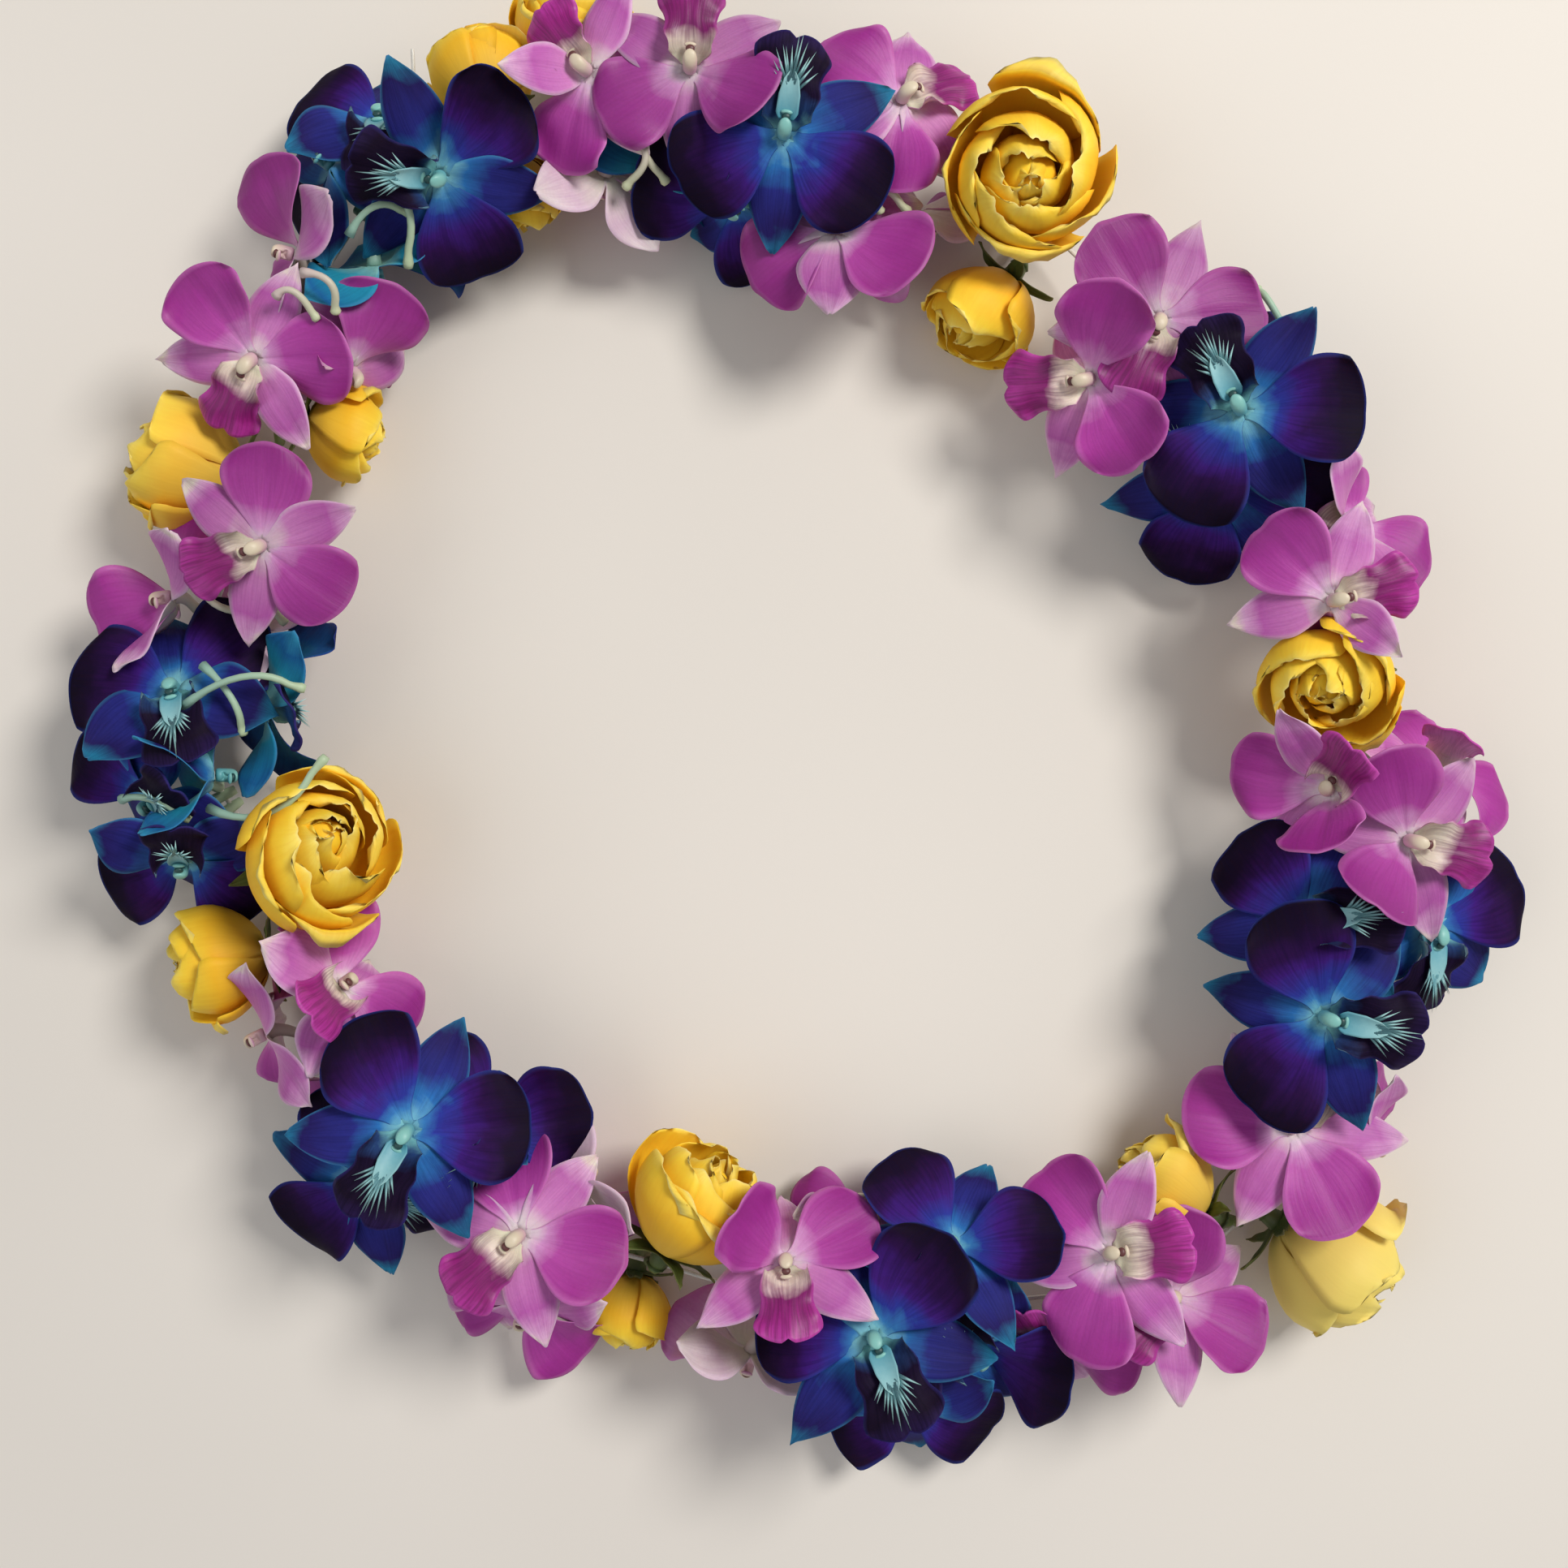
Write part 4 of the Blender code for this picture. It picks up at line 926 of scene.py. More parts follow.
def lip_shape(blank, curve, scale, luck):
    """A lip: side lobes folded up round the column, a waisted middle, and a flared front."""
    across, along, face = corners_of(blank)
    share, half = sheet_lines(LIP, curve, scale, across, along)
    notch = 0.06 * np.exp(-(across / 0.12) ** 2) * along**8
    distance = (share - notch) * (curve.length * LIP_REACH + INSET) - INSET
    lobe = np.exp(-(((along - 0.26) / 0.15) ** 2))
    front = np.clip((along - 0.45) / 0.3, 0, 1)
    lift = LOBE_HEIGHT * scale * lobe * np.abs(across) ** 1.7 * math.sqrt(curve.reach)
    lift -= 0.20 * half * front * across**2
    phase = luck.uniform(*ANY_PHASE)
    lift += LIP.ripple * scale * front * across**2 * np.sin(13.0 * along + phase * np.sign(across))
    lift += 0.5 * scale * front * along**4 * np.sin(7.0 * across + phase)
    ridge = np.exp(-(((np.abs(across) - 0.16) / 0.07) ** 2))
    lift += 0.45 * scale * ridge * np.sin(math.pi * np.clip(along / 0.8, 0, 1)) * (face > 0)
    aside = -across * half * (1 - 0.42 * lobe * across**2)
    points = curve.at(distance, aside, lift + face * LIP.wall * (1 - 0.5 * across**4))
    return points, {"along": along, "across": across, "back": face < 0}


# %% The column, with its hollow
COLUMN_STEPS = (  # how far each ring rises, leans to the lip and grows
    (1.6, -0.1, 0.92), (1.6, -0.35, 1.02), (1.5, -0.7, 1.06), (1.2, -0.9, 0.9), (0.8, -0.7, 0.62))


def column_blank():
    """A short hooded column: a tube that narrows and leans to the lip, hollow at its front."""
    def shape():
        for rise, lean, grow in COLUMN_STEPS:
            bpy.ops.mesh.extrude_region_move(TRANSFORM_OT_translate={"value": (0.0, lean, rise)})
            bpy.ops.transform.resize(value=(grow, grow, 1.0))
        turn_faces_outwards()

    def hollow():
        bpy.ops.mesh.select_mode(type="FACE")
        bpy.ops.mesh.inset(thickness=0.35, depth=0.0)
        bpy.ops.mesh.inset(thickness=0.3, depth=-1.1)

    column = fresh(bpy.ops.mesh.primitive_circle_add, vertices=14, radius=2.5, fill_type="NGON",
                   location=(0.0, 0.0, 0.6))
    bpy.ops.object.transform_apply(location=True)
    in_edit_mode(shape)
    for part in (column.data.edges, column.data.vertices):
        part.foreach_set("select", [False] * len(part))
    for face in column.data.polygons:
        face.select = face.normal.y < -0.75 and 2.6 < face.center.z < 6.4
    in_edit_mode(hollow)
    smooth = column.modifiers.new("Smooth", "SUBSURF")
    smooth.levels = smooth.render_levels = 1
    bpy.ops.object.modifier_apply(modifier="Smooth")
    return named_blank("column")


column = column_blank()
print("corners of a column:", len(column.data.vertices))


# %% Placing the column, its mouth of painted shade and its cap
COLUMN_SCALE = 0.95  # every bloom's column is as tall as the plain one
COLUMN_TOP = (  # half sizes of a bead, its place, how much painted shade it has, and its finish
    (0.75, 0.55, 0.4, (-2.4, 6.8), 0.0, "cap"),
    # the second bead is the column's mouth below the cap: a dark bead of painted shade
    (1.4, 1.2, 0.8, (-4.5, 5.6), 1.0, "column"),
    (1.9, 0.8, 0.7, (-5.9, 4.6), 0.0, "column"),
)


def column_pieces(pose, finishes, luck_mark):
    x, y, z = corners_of(column)
    # the front hollow is marked for painted shade, which darkens the inside of the recess
    hollow = np.clip((y - (-0.33 * z + 0.55)) * 0.9, 0, 1) * (np.abs(x) < 1.5) * (z > 2.2) * (z < 6.6)
    marks = {"along": z / 7.5, "back": hollow * (y < 0.3 - 0.2 * z), "luck": luck_mark}
    points = np.stack([x * 0.95, y, z], axis=1) * COLUMN_SCALE
    yield grown(column, points, pose, marks, finishes["column"])
    x, y, z = corners_of(bead)
    for wide, deep, high, place, painted_shade, finish in COLUMN_TOP:
        dome = np.stack([x * wide, y * deep + place[0], z * high + place[1]], axis=1) * COLUMN_SCALE
        marks = {"along": (z + 1) / 2, "luck": luck_mark, "back": painted_shade}
        yield grown(bead, dome, pose, marks, finishes[finish])


# %% The feathery crest of a blue orchid's lip
CREST_THREADS, THREAD_WIDTH = 13, 0.5
TONGUE = ((0.0, 0.2, 0.55, 0.85, 1.0), (1.6, 2.7, 2.6, 1.8, 0.7))  # half widths along it


def crest_pieces(curve, scale, pose, finish, luck):
    """A pale tongue that lies along the lip, and the fan of pointed threads that it ends in."""
    across, along, face = corners_of(slim_sheet)
    half = np.interp(along, *TONGUE) * scale
    lift = scale * (1.9 - 0.5 * along + 0.8 * across**2) + face * 0.5
    points = curve.at((0.06 + 0.56 * along) * curve.length, -across * half, lift)
    yield grown(slim_sheet, points, pose, {"along": 0.75 * along}, finish)
    x, y, z = corners_of(tuft)
    for k in range(CREST_THREADS):
        fan = 2 * (k + luck.uniform(-0.3, 0.3)) / (CREST_THREADS - 1) - 1
        reach = luck.uniform(5.5, 9.0) * scale * (1 - 0.3 * fan**2)
        root = curve.length * (0.60 - 0.16 * abs(fan))
        width = THREAD_WIDTH * scale
        distance = root + y * width + z * reach * math.cos(0.8 * fan)
        aside = fan * 1.7 * scale + x * width + z * reach * math.sin(0.8 * fan)
        lift = scale * (1.7 + luck.uniform(0.6, 2.6) * z - y * 0.3)
        yield grown(tuft, curve.at(distance, aside, lift), pose, {"along": 0.35 + 0.65 * z}, finish)


# %% [markdown]
# ## Stalks
#
# Behind each bloom a fleshy stalk bends to the thread, and the cut end sticks out a little past it.
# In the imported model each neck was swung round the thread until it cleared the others, and its
# rings can be looked up as the blades were. The fine stalk is one tube pressed along a smooth curve
# through those rings.

# %% The ways a neck may reach the thread
NECK_RADIUS, OVARY_RISE, OVARY_REACH = 1.6, 4.2, 3.4
HIP_RADIUS, HIP_HEIGHT = 4.4, 6.0
PULLS = (0.35, 0.2, 0.55)
SWINGS = (0, 25, -25, 50, -50, 80, -80, 110, -110, 150, -150, 180)


def polygon(sides, flat, z, first_angle=0.0):
    """A ring of corners whose flats are this far from the middle."""
    step = 2 * math.pi / sides
    reach = flat / math.cos(step / 2)
    start = math.radians(first_angle) - step / 2
    turns = [start + i * step for i in range(sides)]
    return [Vector((reach * math.cos(a), reach * math.sin(a), z)) for a in turns]


# %% Looking a neck up
def neck_line(start, facing, seat, way):
    """The four points that a neck's curve is drawn from, and where the stalk is cut."""
    pull, swing = way
    away = start - seat.point
    away = away - seat.along * away.dot(seat.along)
    if away.length < 1.0:
        away = UP
    away = Matrix.Rotation(math.radians(swing), 3, seat.along) @ away.normalized()
    arrival = seat.point + away * OVARY_RISE
    span = (start - arrival).length * pull
    return start, start - facing * span, arrival + away * span, arrival, seat.point - away * OVARY_REACH


def neck_of(finder, ring, pose, seat):
    """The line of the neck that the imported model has, from a ring of corners behind the bloom."""
    middle, turn = pose
    ring = [turn @ corner + middle for corner in reversed(ring)]
    start = sum(ring, Vector()) / len(ring)
    ways = [neck_line(start, turn @ UP, seat, (pull, swing)) for pull in PULLS for swing in SWINGS]
    for points in ways:
        a, b, c, d, _ = points
        halfway = a * 0.125 + b * 0.375 + c * 0.375 + d * 0.125
        direction = (d + c - b - a).normalized()
        reference = ring[0] - start
        side = (reference - direction * reference.dot(direction)).normalized()
        if is_there(finder, [halfway + side * NECK_RADIUS]):
            return points
    print("neck not found, so the straight way is used")
    return ways[0]


# %% Pressing a stalk
BEND_SHARE = 0.72  # the share of a stalk that bends to the thread; the rest goes through it


def along_neck(points, share):
    """Points on the neck: most of the way on the bend, and the last part through the thread."""
    a, b, c, d, end = (np.array(p) for p in points)
    t = np.clip(share / BEND_SHARE, 0, 1)[:, None]
    bend = a * (1 - t) ** 3 + b * 3 * t * (1 - t) ** 2 + c * 3 * t**2 * (1 - t) + d * t**3
    return bend + (end - d) * np.clip((share - BEND_SHARE) / (1 - BEND_SHARE), 0, 1)[:, None]


def cross_axes(middles):
    """Two directions at each point of a line, square to it and never twisting."""
    ahead = np.gradient(middles, axis=0)
    ahead /= np.linalg.norm(ahead, axis=1)[:, None] + 1e-9
    side = np.cross(ahead[0], [0.3, 0.5, 0.81])
    sides = []
    for direction in ahead:
        side = side - direction * side.dot(direction)
        side /= np.linalg.norm(side)
        sides.append(side)
    return np.array(sides), np.cross(ahead, sides)


def stalk_piece(points, radii, finish, luck_mark):
    """A tapered tube along a neck."""
    x, y, z = corners_of(stalk_tube)
    shares = np.linspace(0.0, 1.0, TUBE_LENGTHS + 1)
    middles = along_neck(points, shares)
    sides, others = cross_axes(middles)
    ring = np.rint(z * TUBE_LENGTHS).astype(int)
    radius = np.interp(shares, *radii)[ring]
    corners = sides[ring] * (x * radius)[:, None] + others[ring] * (y * radius)[:, None]
    corners += middles[ring]
    corners[:, 2] = np.maximum(corners[:, 2], 0.5)
    return pressed(stalk_tube, corners, {"along": z, "luck": luck_mark}, finish)


# %% [markdown]
# ## Making all the orchids
#
# Each bunch of the imported model is one piece: the petals, lips, columns and stalks of its blooms
# are made, joined, and put in place of the bunch's node, which is hidden.


# %% One orchid
ORCHID_STALK = ((0.0, 0.12, 0.35, 0.72, 0.9, 1.0), (2.5, 2.0, 1.5, 1.75, 1.7, 1.35))
SIDEWAYS = {"petal": (1.1, 0.95), "sepal": (1.35, 0.91)}  # fuller and shorter, as in a crowd
counts = {"petals, sepals and lips": 0, "left out": 0, "rose sepals": 0}


def orchid_leaf(bloom, blade, curve, pose, scale, luck):
    """(blank, part, corners, marks) of a petal, sepal or lip."""
    if blade.angle == LIP_ANGLE:
        return wide_sheet, "lip", *lip_shape(wide_sheet, curve, scale, luck)
    blank, part, form = slim_sheet, "sepal", SEPAL
    if blade.angle in PETAL_ANGLES:
        blank, part, form = wide_sheet, "petal", PETAL
    crowded = ()
    if bloom.tilt >= SIDE_ON:
        curve.roll = roll_to_eye(curve, pose.turn)
        crowded = SIDEWAYS[part]
    return blank, part, *petal_shape(blank, form, curve, scale, luck, *crowded)


def orchid_pieces(finder, bloom):
    pose = pose_of(bloom)
    scale = bloom.size / ORCHID_SPAN
    finishes = FINISHES[bloom.kind]
    luck = random.Random(bloom.column * 7 + bloom.row)
    luck_mark = luck.random()
    pieces = []
    for blade in blades_of(bloom):
        curve = curve_of(finder, ORCHID_HUB, blade, scale, bloom, pose)
        if curve is None:
            counts["left out"] += 1
            continue
        blank, part, points, marks = orchid_leaf(bloom, blade, curve, pose, scale, luck)
        if part == "lip" and bloom.kind == "blue":
            pieces += crest_pieces(curve, scale, pose, finishes["crest"], luck)
        marks["luck"] = luck_mark
        pieces.append(grown(blank, points, pose, marks, finishes[part]))
        counts["petals, sepals and lips"] += 1
    pieces += column_pieces(pose, finishes, luck_mark)
    ring = polygon(ORCHID_HUB.sides, ORCHID_HUB.flat, -ORCHID_HUB.half_height, 30)
    start, *rest = neck_of(finder, ring, pose, seats[bloom])
    line_of_stalk = (start + pose.turn @ UP, *rest)
    pieces.append(stalk_piece(line_of_stalk, ORCHID_STALK, finishes["stalk"], luck_mark))
    return pieces


# %% Loose stalks
LOOSE_STALKS = {  # bunch: where a cut stalk starts and ends, and how far it bows, in the plan's terms
    "v1": (((226, 871, 47), (376, 849, 46), (2, 6, 5)), ((250, 820, 44), (300, 905, 42), (4, 0, 4))),
    "v2": (((258, 996, 43), (402, 932, 50), (3, -8, 4)), ((150, 985, 36), (235, 1010, 38), (0, 3, 3))),
    "z2": (((446, 214, 47), (503, 330, 36), (7, 4, 5)), ((430, 290, 44), (505, 262, 40), (0, 4, 4))),
    "b1": (((800, 150, 40), (822, 226, 34), (-4, 0, 3)), ((780, 170, 40), (770, 232, 34), (5, 0, 3))),
    "d2": (((1112, 215, 36), (1085, 262, 34), (-5, 0, 4)), ((1050, 245, 38), (1120, 262, 34), (0, 4, 4))),
    "g2": (((1590, 420, 36), (1548, 356, 34), (-2, 3, 3)),),
    "w2": (((250, 700, 38), (316, 758, 32), (-4, -3, 4)), ((285, 735, 36), (352, 768, 30), (0, 4, 3))),
    "y2": (((372, 336, 54), (414, 386, 48), (4, 2, 3)), ((340, 366, 50), (392, 394, 46), (0, 4, 3))),
}
LOOSE_RADII = ((0.0, 0.15, 0.8, 0.95, 1.0), (1.6, 1.0, 1.15, 1.7, 1.3))
BOWS = ((0.3, 1.3), (0.65, 1.3), (0.86, 0.325))  # share of the way, and how much of the bow it has


def loose_stalks(bunch, finish, luck):
    for start, end, bow in LOOSE_STALKS.get(bunch, ()):
        start, end = spot_of(*start), spot_of(*end)
        between = [start.lerp(end, share) + Vector(bow) * part for share, part in BOWS]
        yield stalk_piece((start, *between, end), LOOSE_RADII, finish, luck.random())


# %% Joining a node's pieces
def joined(pieces, name, node):
    """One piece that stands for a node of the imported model."""
    bpy.ops.object.select_all(action="DESELECT")
    for piece in pieces:
        piece.select_set(True)
    bpy.context.view_layer.objects.active = pieces[0]
    bpy.ops.object.join()
    whole = bpy.context.object
    whole.name = whole.data.name = name
    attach(whole, "root")
    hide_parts(node)


for bunch, blooms in bunches.items():
    kind = blooms[0].kind
    if kind != "rose":
        node = f"orchids_{bunch}"
        finder = corner_finder(node)
        made = [piece for bloom in blooms for piece in orchid_pieces(finder, bloom)]
        made += loose_stalks(bunch, FINISHES[kind]["stalk"], random.Random(blooms[0].row))
        joined(made, f"{kind}_orchid_bunch_{bunch}", node)
print("orchids:", counts)

# %% [markdown]
# ## Roses
#
# A garden rose is a spiral of petals, sixteen on the largest here. The outermost stand open and
# roll their rims outwards, and the next ones cup closer and closer round a packed heart. One sheet
# serves for all: each petal is turned by the golden angle, and how far in it is decides how high it
# stands, how far it wraps and how much its rim rolls.


# %% The finish of rose petals
ROSE_COLOURS = (  # from root to tip: an outer petal's front, an inner one's front, and the backs; more orange at the root and on inner petals, partly the rose's own colour and partly painted shade deep in the bloom
    ((0.0, (250, 192, 34)), (0.4, (254, 206, 44)), (0.8, (255, 216, 60)), (1.0, (255, 230, 110))),
    ((0.0, (250, 178, 24)), (0.5, (254, 200, 34)), (0.85, (255, 212, 48)), (1.0, (255, 222, 90))),
    ((0.0, (232, 190, 70)), (0.5, (250, 190, 38)), (0.8, (254, 212, 58)), (1.0, (255, 227, 100))),
)


def rose_finish():
    rose = Recipe("rose petals", 0.6)
    along, across, inner = rose.mark("along"), rose.mark("across"), rose.mark("inner")
    luck, fade = rose.mark("luck"), rose.mark("fade")
    veins = rose.noise(2.0, where=rose.fan(rose.times(across, 9.0), along, rose.times(luck, 31.0)))
    blotch = rose.noise(130.0)
    drift = rose.plus(along, rose.times(rose.plus(blotch, -0.5), 0.35))
    open_colour, inner_colour_and_shade, behind = (rose.ramp(drift, *stops) for stops in ROSE_COLOURS)
    # inner petals take the more orange front: partly their own colour, partly painted shade deep in the
    # rose
    colour = rose.blend(rose.mark("back"), rose.blend(inner, open_colour, inner_colour_and_shade), behind)
    colour = rose.blend(rose.times(rose.ramp(veins, (0.35, 1.0), (0.6, 0.0)), 0.14), colour, (230, 166, 30))
    rim = rose.ramp(rose.math("POWER", along, 12.0), (0.6, 0.0), (1.0, 0.6))
    colour = rose.blend(rim, colour, (252, 236, 150))
    colour = rose.blend(fade, colour, (236, 216, 122))
    rose.set("Base Color", rose.dim(colour, rose.plus(0.93, rose.times(luck, 0.14))))
    rose.set("Specular IOR Level", 0.3)
    rose.glow(0.1, 2.0)
    rose.relief(rose.plus(veins, rose.times(blotch, 0.4)), 0.22, 0.0003)
    return rose.material


ROSE_FINISH = rose_finish()
print("finish:", ROSE_FINISH.name)

# %% Where the petals of a rose stand
GOLDEN_ANGLE = 137.5
INWARD = (0.0, 0.2, 0.4, 0.6, 0.8, 1.0)  # from the outermost petal to the inmost
RIMS = (0.97, 0.82, 0.62, 0.42, 0.22, 0.03)  # where the rim ends, as a share of half the width
BELLIES = (0.97, 0.94, 0.84, 0.66, 0.46, 0.24)  # and where the petal is widest
WRAPS = ((0.0, 0.35, 0.7, 1.0), (54.0, 64.0, 80.0, 125.0))  # half the angle that a petal wraps
SPREADS = ((0.0, 0.3, 0.6, 0.82, 0.94, 1.0), (0.75, 0.92, 1.0, 0.93, 0.74, 0.5))  # along one petal
ROOT_RADIUS = 2.6
WHORL_SHIFT = 0.21  # how far off its middle a rose's whorl sits, as a share of half its width


# %% Pressing a rose petal
def rose_petal(size, number, count, luck, ruffle):
    """(corners in the rose's own axes, marks) of one petal, number 0 outermost."""
    across, along, face = corners_of(rose_sheet)
    inner = number / (count - 1)
    width, height = size / 2, ROSE_HEIGHT * size / ROSE_WIDTH
    rim = width * (np.interp(inner, INWARD, RIMS) + luck.uniform(-0.06, 0.03))
    belly = width * np.interp(inner, INWARD, BELLIES)
    top = height * (0.80 + 0.21 * math.sin(math.pi / 2 * min(1.0, inner * 1.6)) + luck.uniform(-0.04, 0.03))
    half = math.radians(np.interp(inner, *WRAPS) + luck.uniform(-6, 6))
    opening = max(0.0, 1.0 - 3.0 * inner) * luck.uniform(0.6, 1.5)
    rise = np.minimum(1.9 * along, 1.2) / 1.2  # up the side to the belly, then in over the top
    r = ROOT_RADIUS + (belly - ROOT_RADIUS) * np.sin(rise * math.pi / 2) ** 0.8
    closing = np.clip((along - 0.5) / 0.5, 0, 1)
    r -= (belly - rim) * closing**1.4 * (1.2 - 0.45 * across**2)
    z = top * (0.25 * along + 0.75 * np.sin(along * math.pi / 2) ** 1.5)
    z *= 1 - 0.14 * across**2 * along**2
    q = np.clip((along - 0.72) / 0.28, 0, 1)
    fold = 0.55 + 0.45 * np.cos(2.4 * (across - luck.uniform(-0.5, 0.5)))
    r += (opening * 0.17 * width + 0.2) * q**2 * fold
    z -= opening * 0.12 * height * q**2.4 * fold
    phase, beat = luck.uniform(*ANY_PHASE), luck.uniform(2.5, 5.0)
    wave = (ruffle + 0.8 * inner) * size / ROSE_WIDTH * along**3
    r += wave * 0.8 * np.sin(beat * across + phase) + wave * 0.4 * np.sin(11.0 * across + phase * 2)
    z += wave * np.sin((beat - 1) * across + phase * 1.7)
    z -= luck.uniform(0.0, 0.16) * height * across * along**2 * luck.choice((-1, 1))
    spiral = 0.07 + 0.11 * math.sin(math.pi * inner)
    r = r * (1 + spiral * across) + face * 0.42 * (1 - 0.8 * along**4) * (1 - 0.6 * across**8)
    turned = math.radians(GOLDEN_ANGLE * number + luck.uniform(-26, 26))
    angle = turned + across * half * np.interp(along, *SPREADS)
    sway = WHORL_SHIFT * inner * along * width
    x = r * np.cos(angle) + sway * math.cos(size)
    y = r * np.sin(angle) + sway * math.sin(size)
    marks = {"along": along, "across": across, "back": face > 0, "inner": inner}
    return np.stack([x, y, z], axis=1), marks


# %% The heart that the inmost petals close over
HEART = 0.36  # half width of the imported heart, as a share of the rose's


def rose_heart(size):
    """(corners in the rose's own axes, marks) of a bead with three ridges that wind round it."""
    x, y, z = corners_of(bead)
    width, height = size / 2 * HEART, ROSE_HEIGHT * size / ROSE_WIDTH
    whorl = 1 + 0.16 * np.sin(3 * np.arctan2(y, x) + 5 * z)
    shift = WHORL_SHIFT * size / 2 * 0.8
    x, y = x * width * whorl + shift * math.cos(size), y * width * whorl + shift * math.sin(size)
    return np.stack([x, y, height * (0.58 + 0.36 * z)], axis=1), {"along": 0.8, "inner": 1.0}


# %% All the roses' petals
ROSE_PETALS = 16
FADED = {"m2": (0.75, 1.7), "m1": (0.25, 1.0), "x1": (0.15, 0.8)}  # how faded, and how crinkled
FRESH = (0.0, 0.8)
rose_poses = {}
for bunch, blooms in bunches.items():
    for number, bloom in enumerate(blooms, 1):
        if bloom.kind == "rose":
            name = f"{bunch}{number}"
            rose_poses[bloom] = rose_pose(bloom, name in RESTING)
            luck = random.Random(bloom.column * 11 + bloom.row)
            fade, ruffle = FADED.get(name, FRESH)
            count = round(ROSE_PETALS * (0.6 + 0.4 * bloom.size / 50))
            made = []
            for k in range(count):
                points, marks = rose_petal(bloom.size, k, count, luck, ruffle)
                marks.update(luck=luck.random(), fade=fade)
                made.append(grown(rose_sheet, points, rose_poses[bloom], marks, ROSE_FINISH))
            points, marks = rose_heart(bloom.size)
            marks.update(luck=0.5, fade=fade)
            made.append(grown(bead, points, rose_poses[bloom], marks, ROSE_FINISH))
            joined(made, f"rose_petals_{name}", f"rose_{name}")
print("roses:", len(rose_poses))

# %% [markdown]
# ## Hips and sepals
#
# Under each rose is a small green hip with five narrow sepals that bend away from the petals. The
# hip is a bead pressed into an urn, and the sepals are slim sheets along the plain blades.

# %% Green finishes and forms
HIP_FINISH = flesh_finish("rose hip", (58, 78, 36), (96, 112, 56), (60, 70, 30), 0.5)
ROSE_STALK_FINISH = flesh_finish("rose stalk", (84, 106, 52), (112, 122, 74), (60, 70, 30), 0.55)
GREEN_FINISH = petal_finish(
    "rose sepal",
    ((0.0, (92, 110, 58)), (0.6, (74, 96, 44)), (1.0, (104, 112, 60))),
    ((0.0, (66, 86, 38)), (0.6, (70, 90, 42)), (1.0, (110, 104, 60))),
    (112, 116, 66), (50, 70, 30), (0.6, 0.4, 0.5, 0.3))
GREEN_SEPAL = Form(outline((0, 2.5), (0.2, 3.4), (0.5, 2.9), (0.8, 1.4), (0.95, 0.4), (1, 0)),
                   0.94, 0.2, 0.5, 0.25, 0.6)
ROSE_STALK = ((0.0, 0.15, 0.4, 0.72, 0.9, 1.0), (3.2, 2.0, 1.6, 1.6, 1.6, 1.4))


# %% One calyx
def calyx_pieces(finder, bloom):
    pose = rose_poses[bloom]
    scale = bloom.size / ROSE_WIDTH
    luck = random.Random(bloom.column * 13 + bloom.row)
    luck_mark = luck.random()
    x, y, z = corners_of(bead)
    swell = 4.7 * (0.82 + 0.18 * np.sin(2.4 * z - 1.2))
    hip = np.stack([x * swell, y * swell, z * 3.5 - 3.3], axis=1)
    yield grown(bead, hip, pose, {"along": (1 - z) / 2, "luck": luck_mark}, HIP_FINISH)
    for blade in ROSE_BLADES:
        curve = curve_of(finder, ROSE_HUB, blade, scale, bloom, pose)
        if curve:
            points, marks = petal_shape(slim_sheet, GREEN_SEPAL, curve, max(scale, 0.8), luck)
            marks["luck"] = luck_mark
            yield grown(slim_sheet, points, pose, marks, GREEN_FINISH)
            counts["rose sepals"] += 1
    points = neck_of(finder, polygon(ROSE_HUB.sides, HIP_RADIUS, -HIP_HEIGHT), pose, seats[bloom])
    yield stalk_piece(points, ROSE_STALK, ROSE_STALK_FINISH, luck_mark)


for bunch, blooms in bunches.items():
    if blooms[0].kind == "rose":
        finder = corner_finder(f"calyxes_{bunch}")
        made = [piece for bloom in blooms for piece in calyx_pieces(finder, bloom)]
        joined(made, f"rose_hips_{bunch}", f"calyxes_{bunch}")
visible = [o.data.polygons for o in bpy.data.objects if o.type == "MESH" and not o.hide_render]
print("rose sepals:", counts["rose sepals"])
print("triangles so far:", sum(len(face.vertices) - 2 for faces in visible for face in faces))

# %% [markdown]
# ## The thread
#
# The garland's thread is three-ply cotton, waxed so that it slides. A torus is already a closed
# tube, so it is pressed along the thread's line: the long way round becomes the garland's ring and
# the short way round gets three ridges that twist as they go. Blender's torus has 256 sections at
# most, so the twist is coarse, which the blooms hide. The knot is a torus pressed into a trefoil.


# %% The thread's finish
def thread_finish():
    thread = Recipe("waxed thread", 0.4)
    fibres = thread.noise(2600.0, 3.0)
    thread.set("Base Color", thread.ramp(fibres, (0.3, (206, 202, 190)), (0.7, (232, 230, 222))))
    thread.set("Coat Weight", 0.3)
    thread.relief(fibres, 0.4, 0.0001)
    return thread.material


THREAD_FINISH = thread_finish()
print("finish:", THREAD_FINISH.name)


# %% Pressing a torus along a closed line
TORUS_RADIUS = 4.0


def torus_blank(name, rounds, sides):
    """The blank, and each of its corners' angle the long way and the short way round."""
    fresh(bpy.ops.mesh.primitive_torus_add, major_segments=rounds, minor_segments=sides,
          major_radius=TORUS_RADIUS, minor_radius=1.0)
    torus = named_blank(name)
    x, y, z = corners_of(torus)
    return torus, np.arctan2(y, x), np.arctan2(z, np.hypot(x, y) - TORUS_RADIUS)


def unit(vectors):
    return vectors / np.linalg.norm(vectors, axis=1)[:, None]


def tube_corners(middles, ahead, small, radius):
    """Corners at this radius round a line's points, at these angles the short way round."""
    side = unit(np.cross(unit(ahead), [0.0, 0.0, 1.0]))
    above = np.cross(side, unit(ahead))
    outward, upward = (part(small) * radius for part in (np.cos, np.sin))
    return middles - side * outward[:, None] + above * upward[:, None]


# %% The ring of thread
THREAD_RADIUS, PLY_DEPTH, PLY_PITCH = 0.7, 0.1, 7.0
LINE_POINTS = 900  # points that the thread's line is measured at


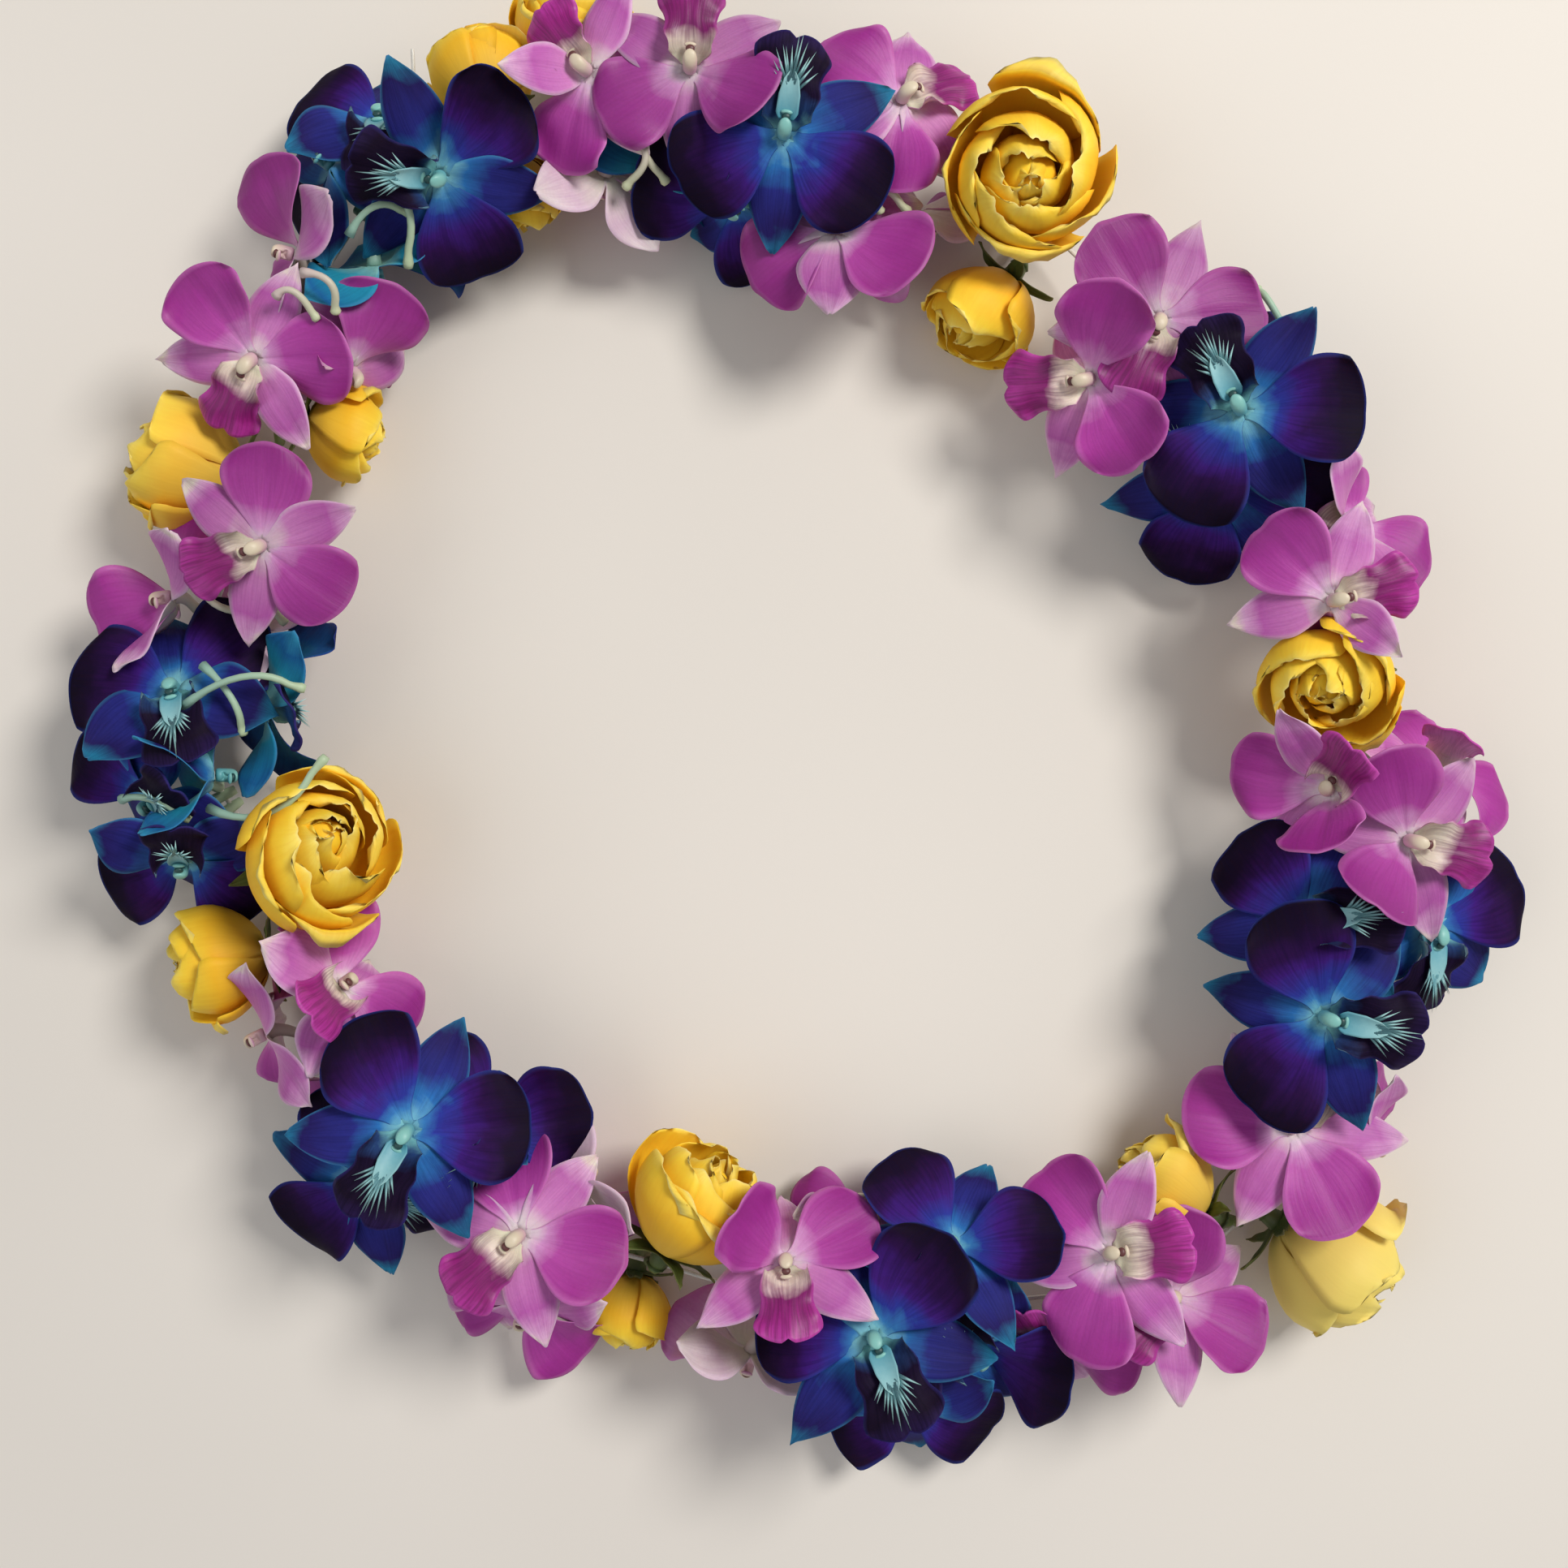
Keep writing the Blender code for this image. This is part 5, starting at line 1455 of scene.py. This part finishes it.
def ring_piece():
    torus, turn, small = torus_blank("thread torus", 256, 9)
    turn = turn % (2 * math.pi)
    nearest = np.rint(turn / (2 * math.pi) * LINE_POINTS).astype(int) % LINE_POINTS
    middles = np.array([loop_point(line, k * len(line) / LINE_POINTS) for k in range(LINE_POINTS)])
    ahead = np.roll(middles, -1, axis=0) - np.roll(middles, 1, axis=0)
    plies = 3 * (small - turn * round(line_length / PLY_PITCH))
    radius = THREAD_RADIUS + PLY_DEPTH * np.cos(plies)
    corners = tube_corners(middles[nearest], ahead[nearest], small, radius)
    return pressed(torus, corners, {"along": turn / 6.3}, THREAD_FINISH)


# %% The knot and the two loose ends
KNOT_SCALE, KNOT_THREAD = 0.62, 0.55
TAIL_BOWS = (Vector((2, 0, 0)), Vector((-2, 1, 0)))


def trefoil(t):
    x = np.sin(t) + 2 * np.sin(2 * t)
    y = np.cos(t) - 2 * np.cos(2 * t)
    return np.stack([x, y, -np.sin(3 * t)], axis=-1)


def knot_piece():
    torus, turn, small = torus_blank("knot torus", 72, 7)
    ahead = trefoil(turn + 0.01) - trefoil(turn - 0.01)
    corners = tube_corners(trefoil(turn) * KNOT_SCALE, ahead, small, KNOT_THREAD)
    return pressed(torus, corners + np.array(knot_seat.point), {"along": 0.5}, THREAD_FINISH)


def tail_piece(tail, bow):
    start, end = knot_seat.point, spot_of(*tail)
    lifted = (start + end) / 2 + Vector((0.0, 0.0, 3.0)) + bow
    points = (start, start.lerp(lifted, 0.6), lifted.lerp(end, 0.5), end.lerp(lifted, 0.1), end)
    return stalk_piece(points, ((0.0, 0.9, 1.0), (0.55, 0.55, 0.4)), THREAD_FINISH, 0.5)


thread_pieces = [ring_piece(), knot_piece()]
thread_pieces += [tail_piece(tail, bow) for tail, bow in zip(TAILS, TAIL_BOWS)]
joined(thread_pieces, "garland_thread", "thread")
print("loose ends:", [round((spot_of(*tail) - knot_seat.point).length) for tail in TAILS], "mm")

# %% [markdown]
# ## Clearing up
#
# The blanks have done their work. The sizes before and after are written down, so that the dressed
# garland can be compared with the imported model.

# %% Clear up, measure and finish
for blank in BLANKS:
    bpy.data.objects.remove(blank)
visible_box = [list(corner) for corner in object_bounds()]
for label, box in (("packed", cad_box), ("dressed", visible_box)):
    print(label, [round((high - low) / MM, 1) for low, high in zip(*box)], "mm")
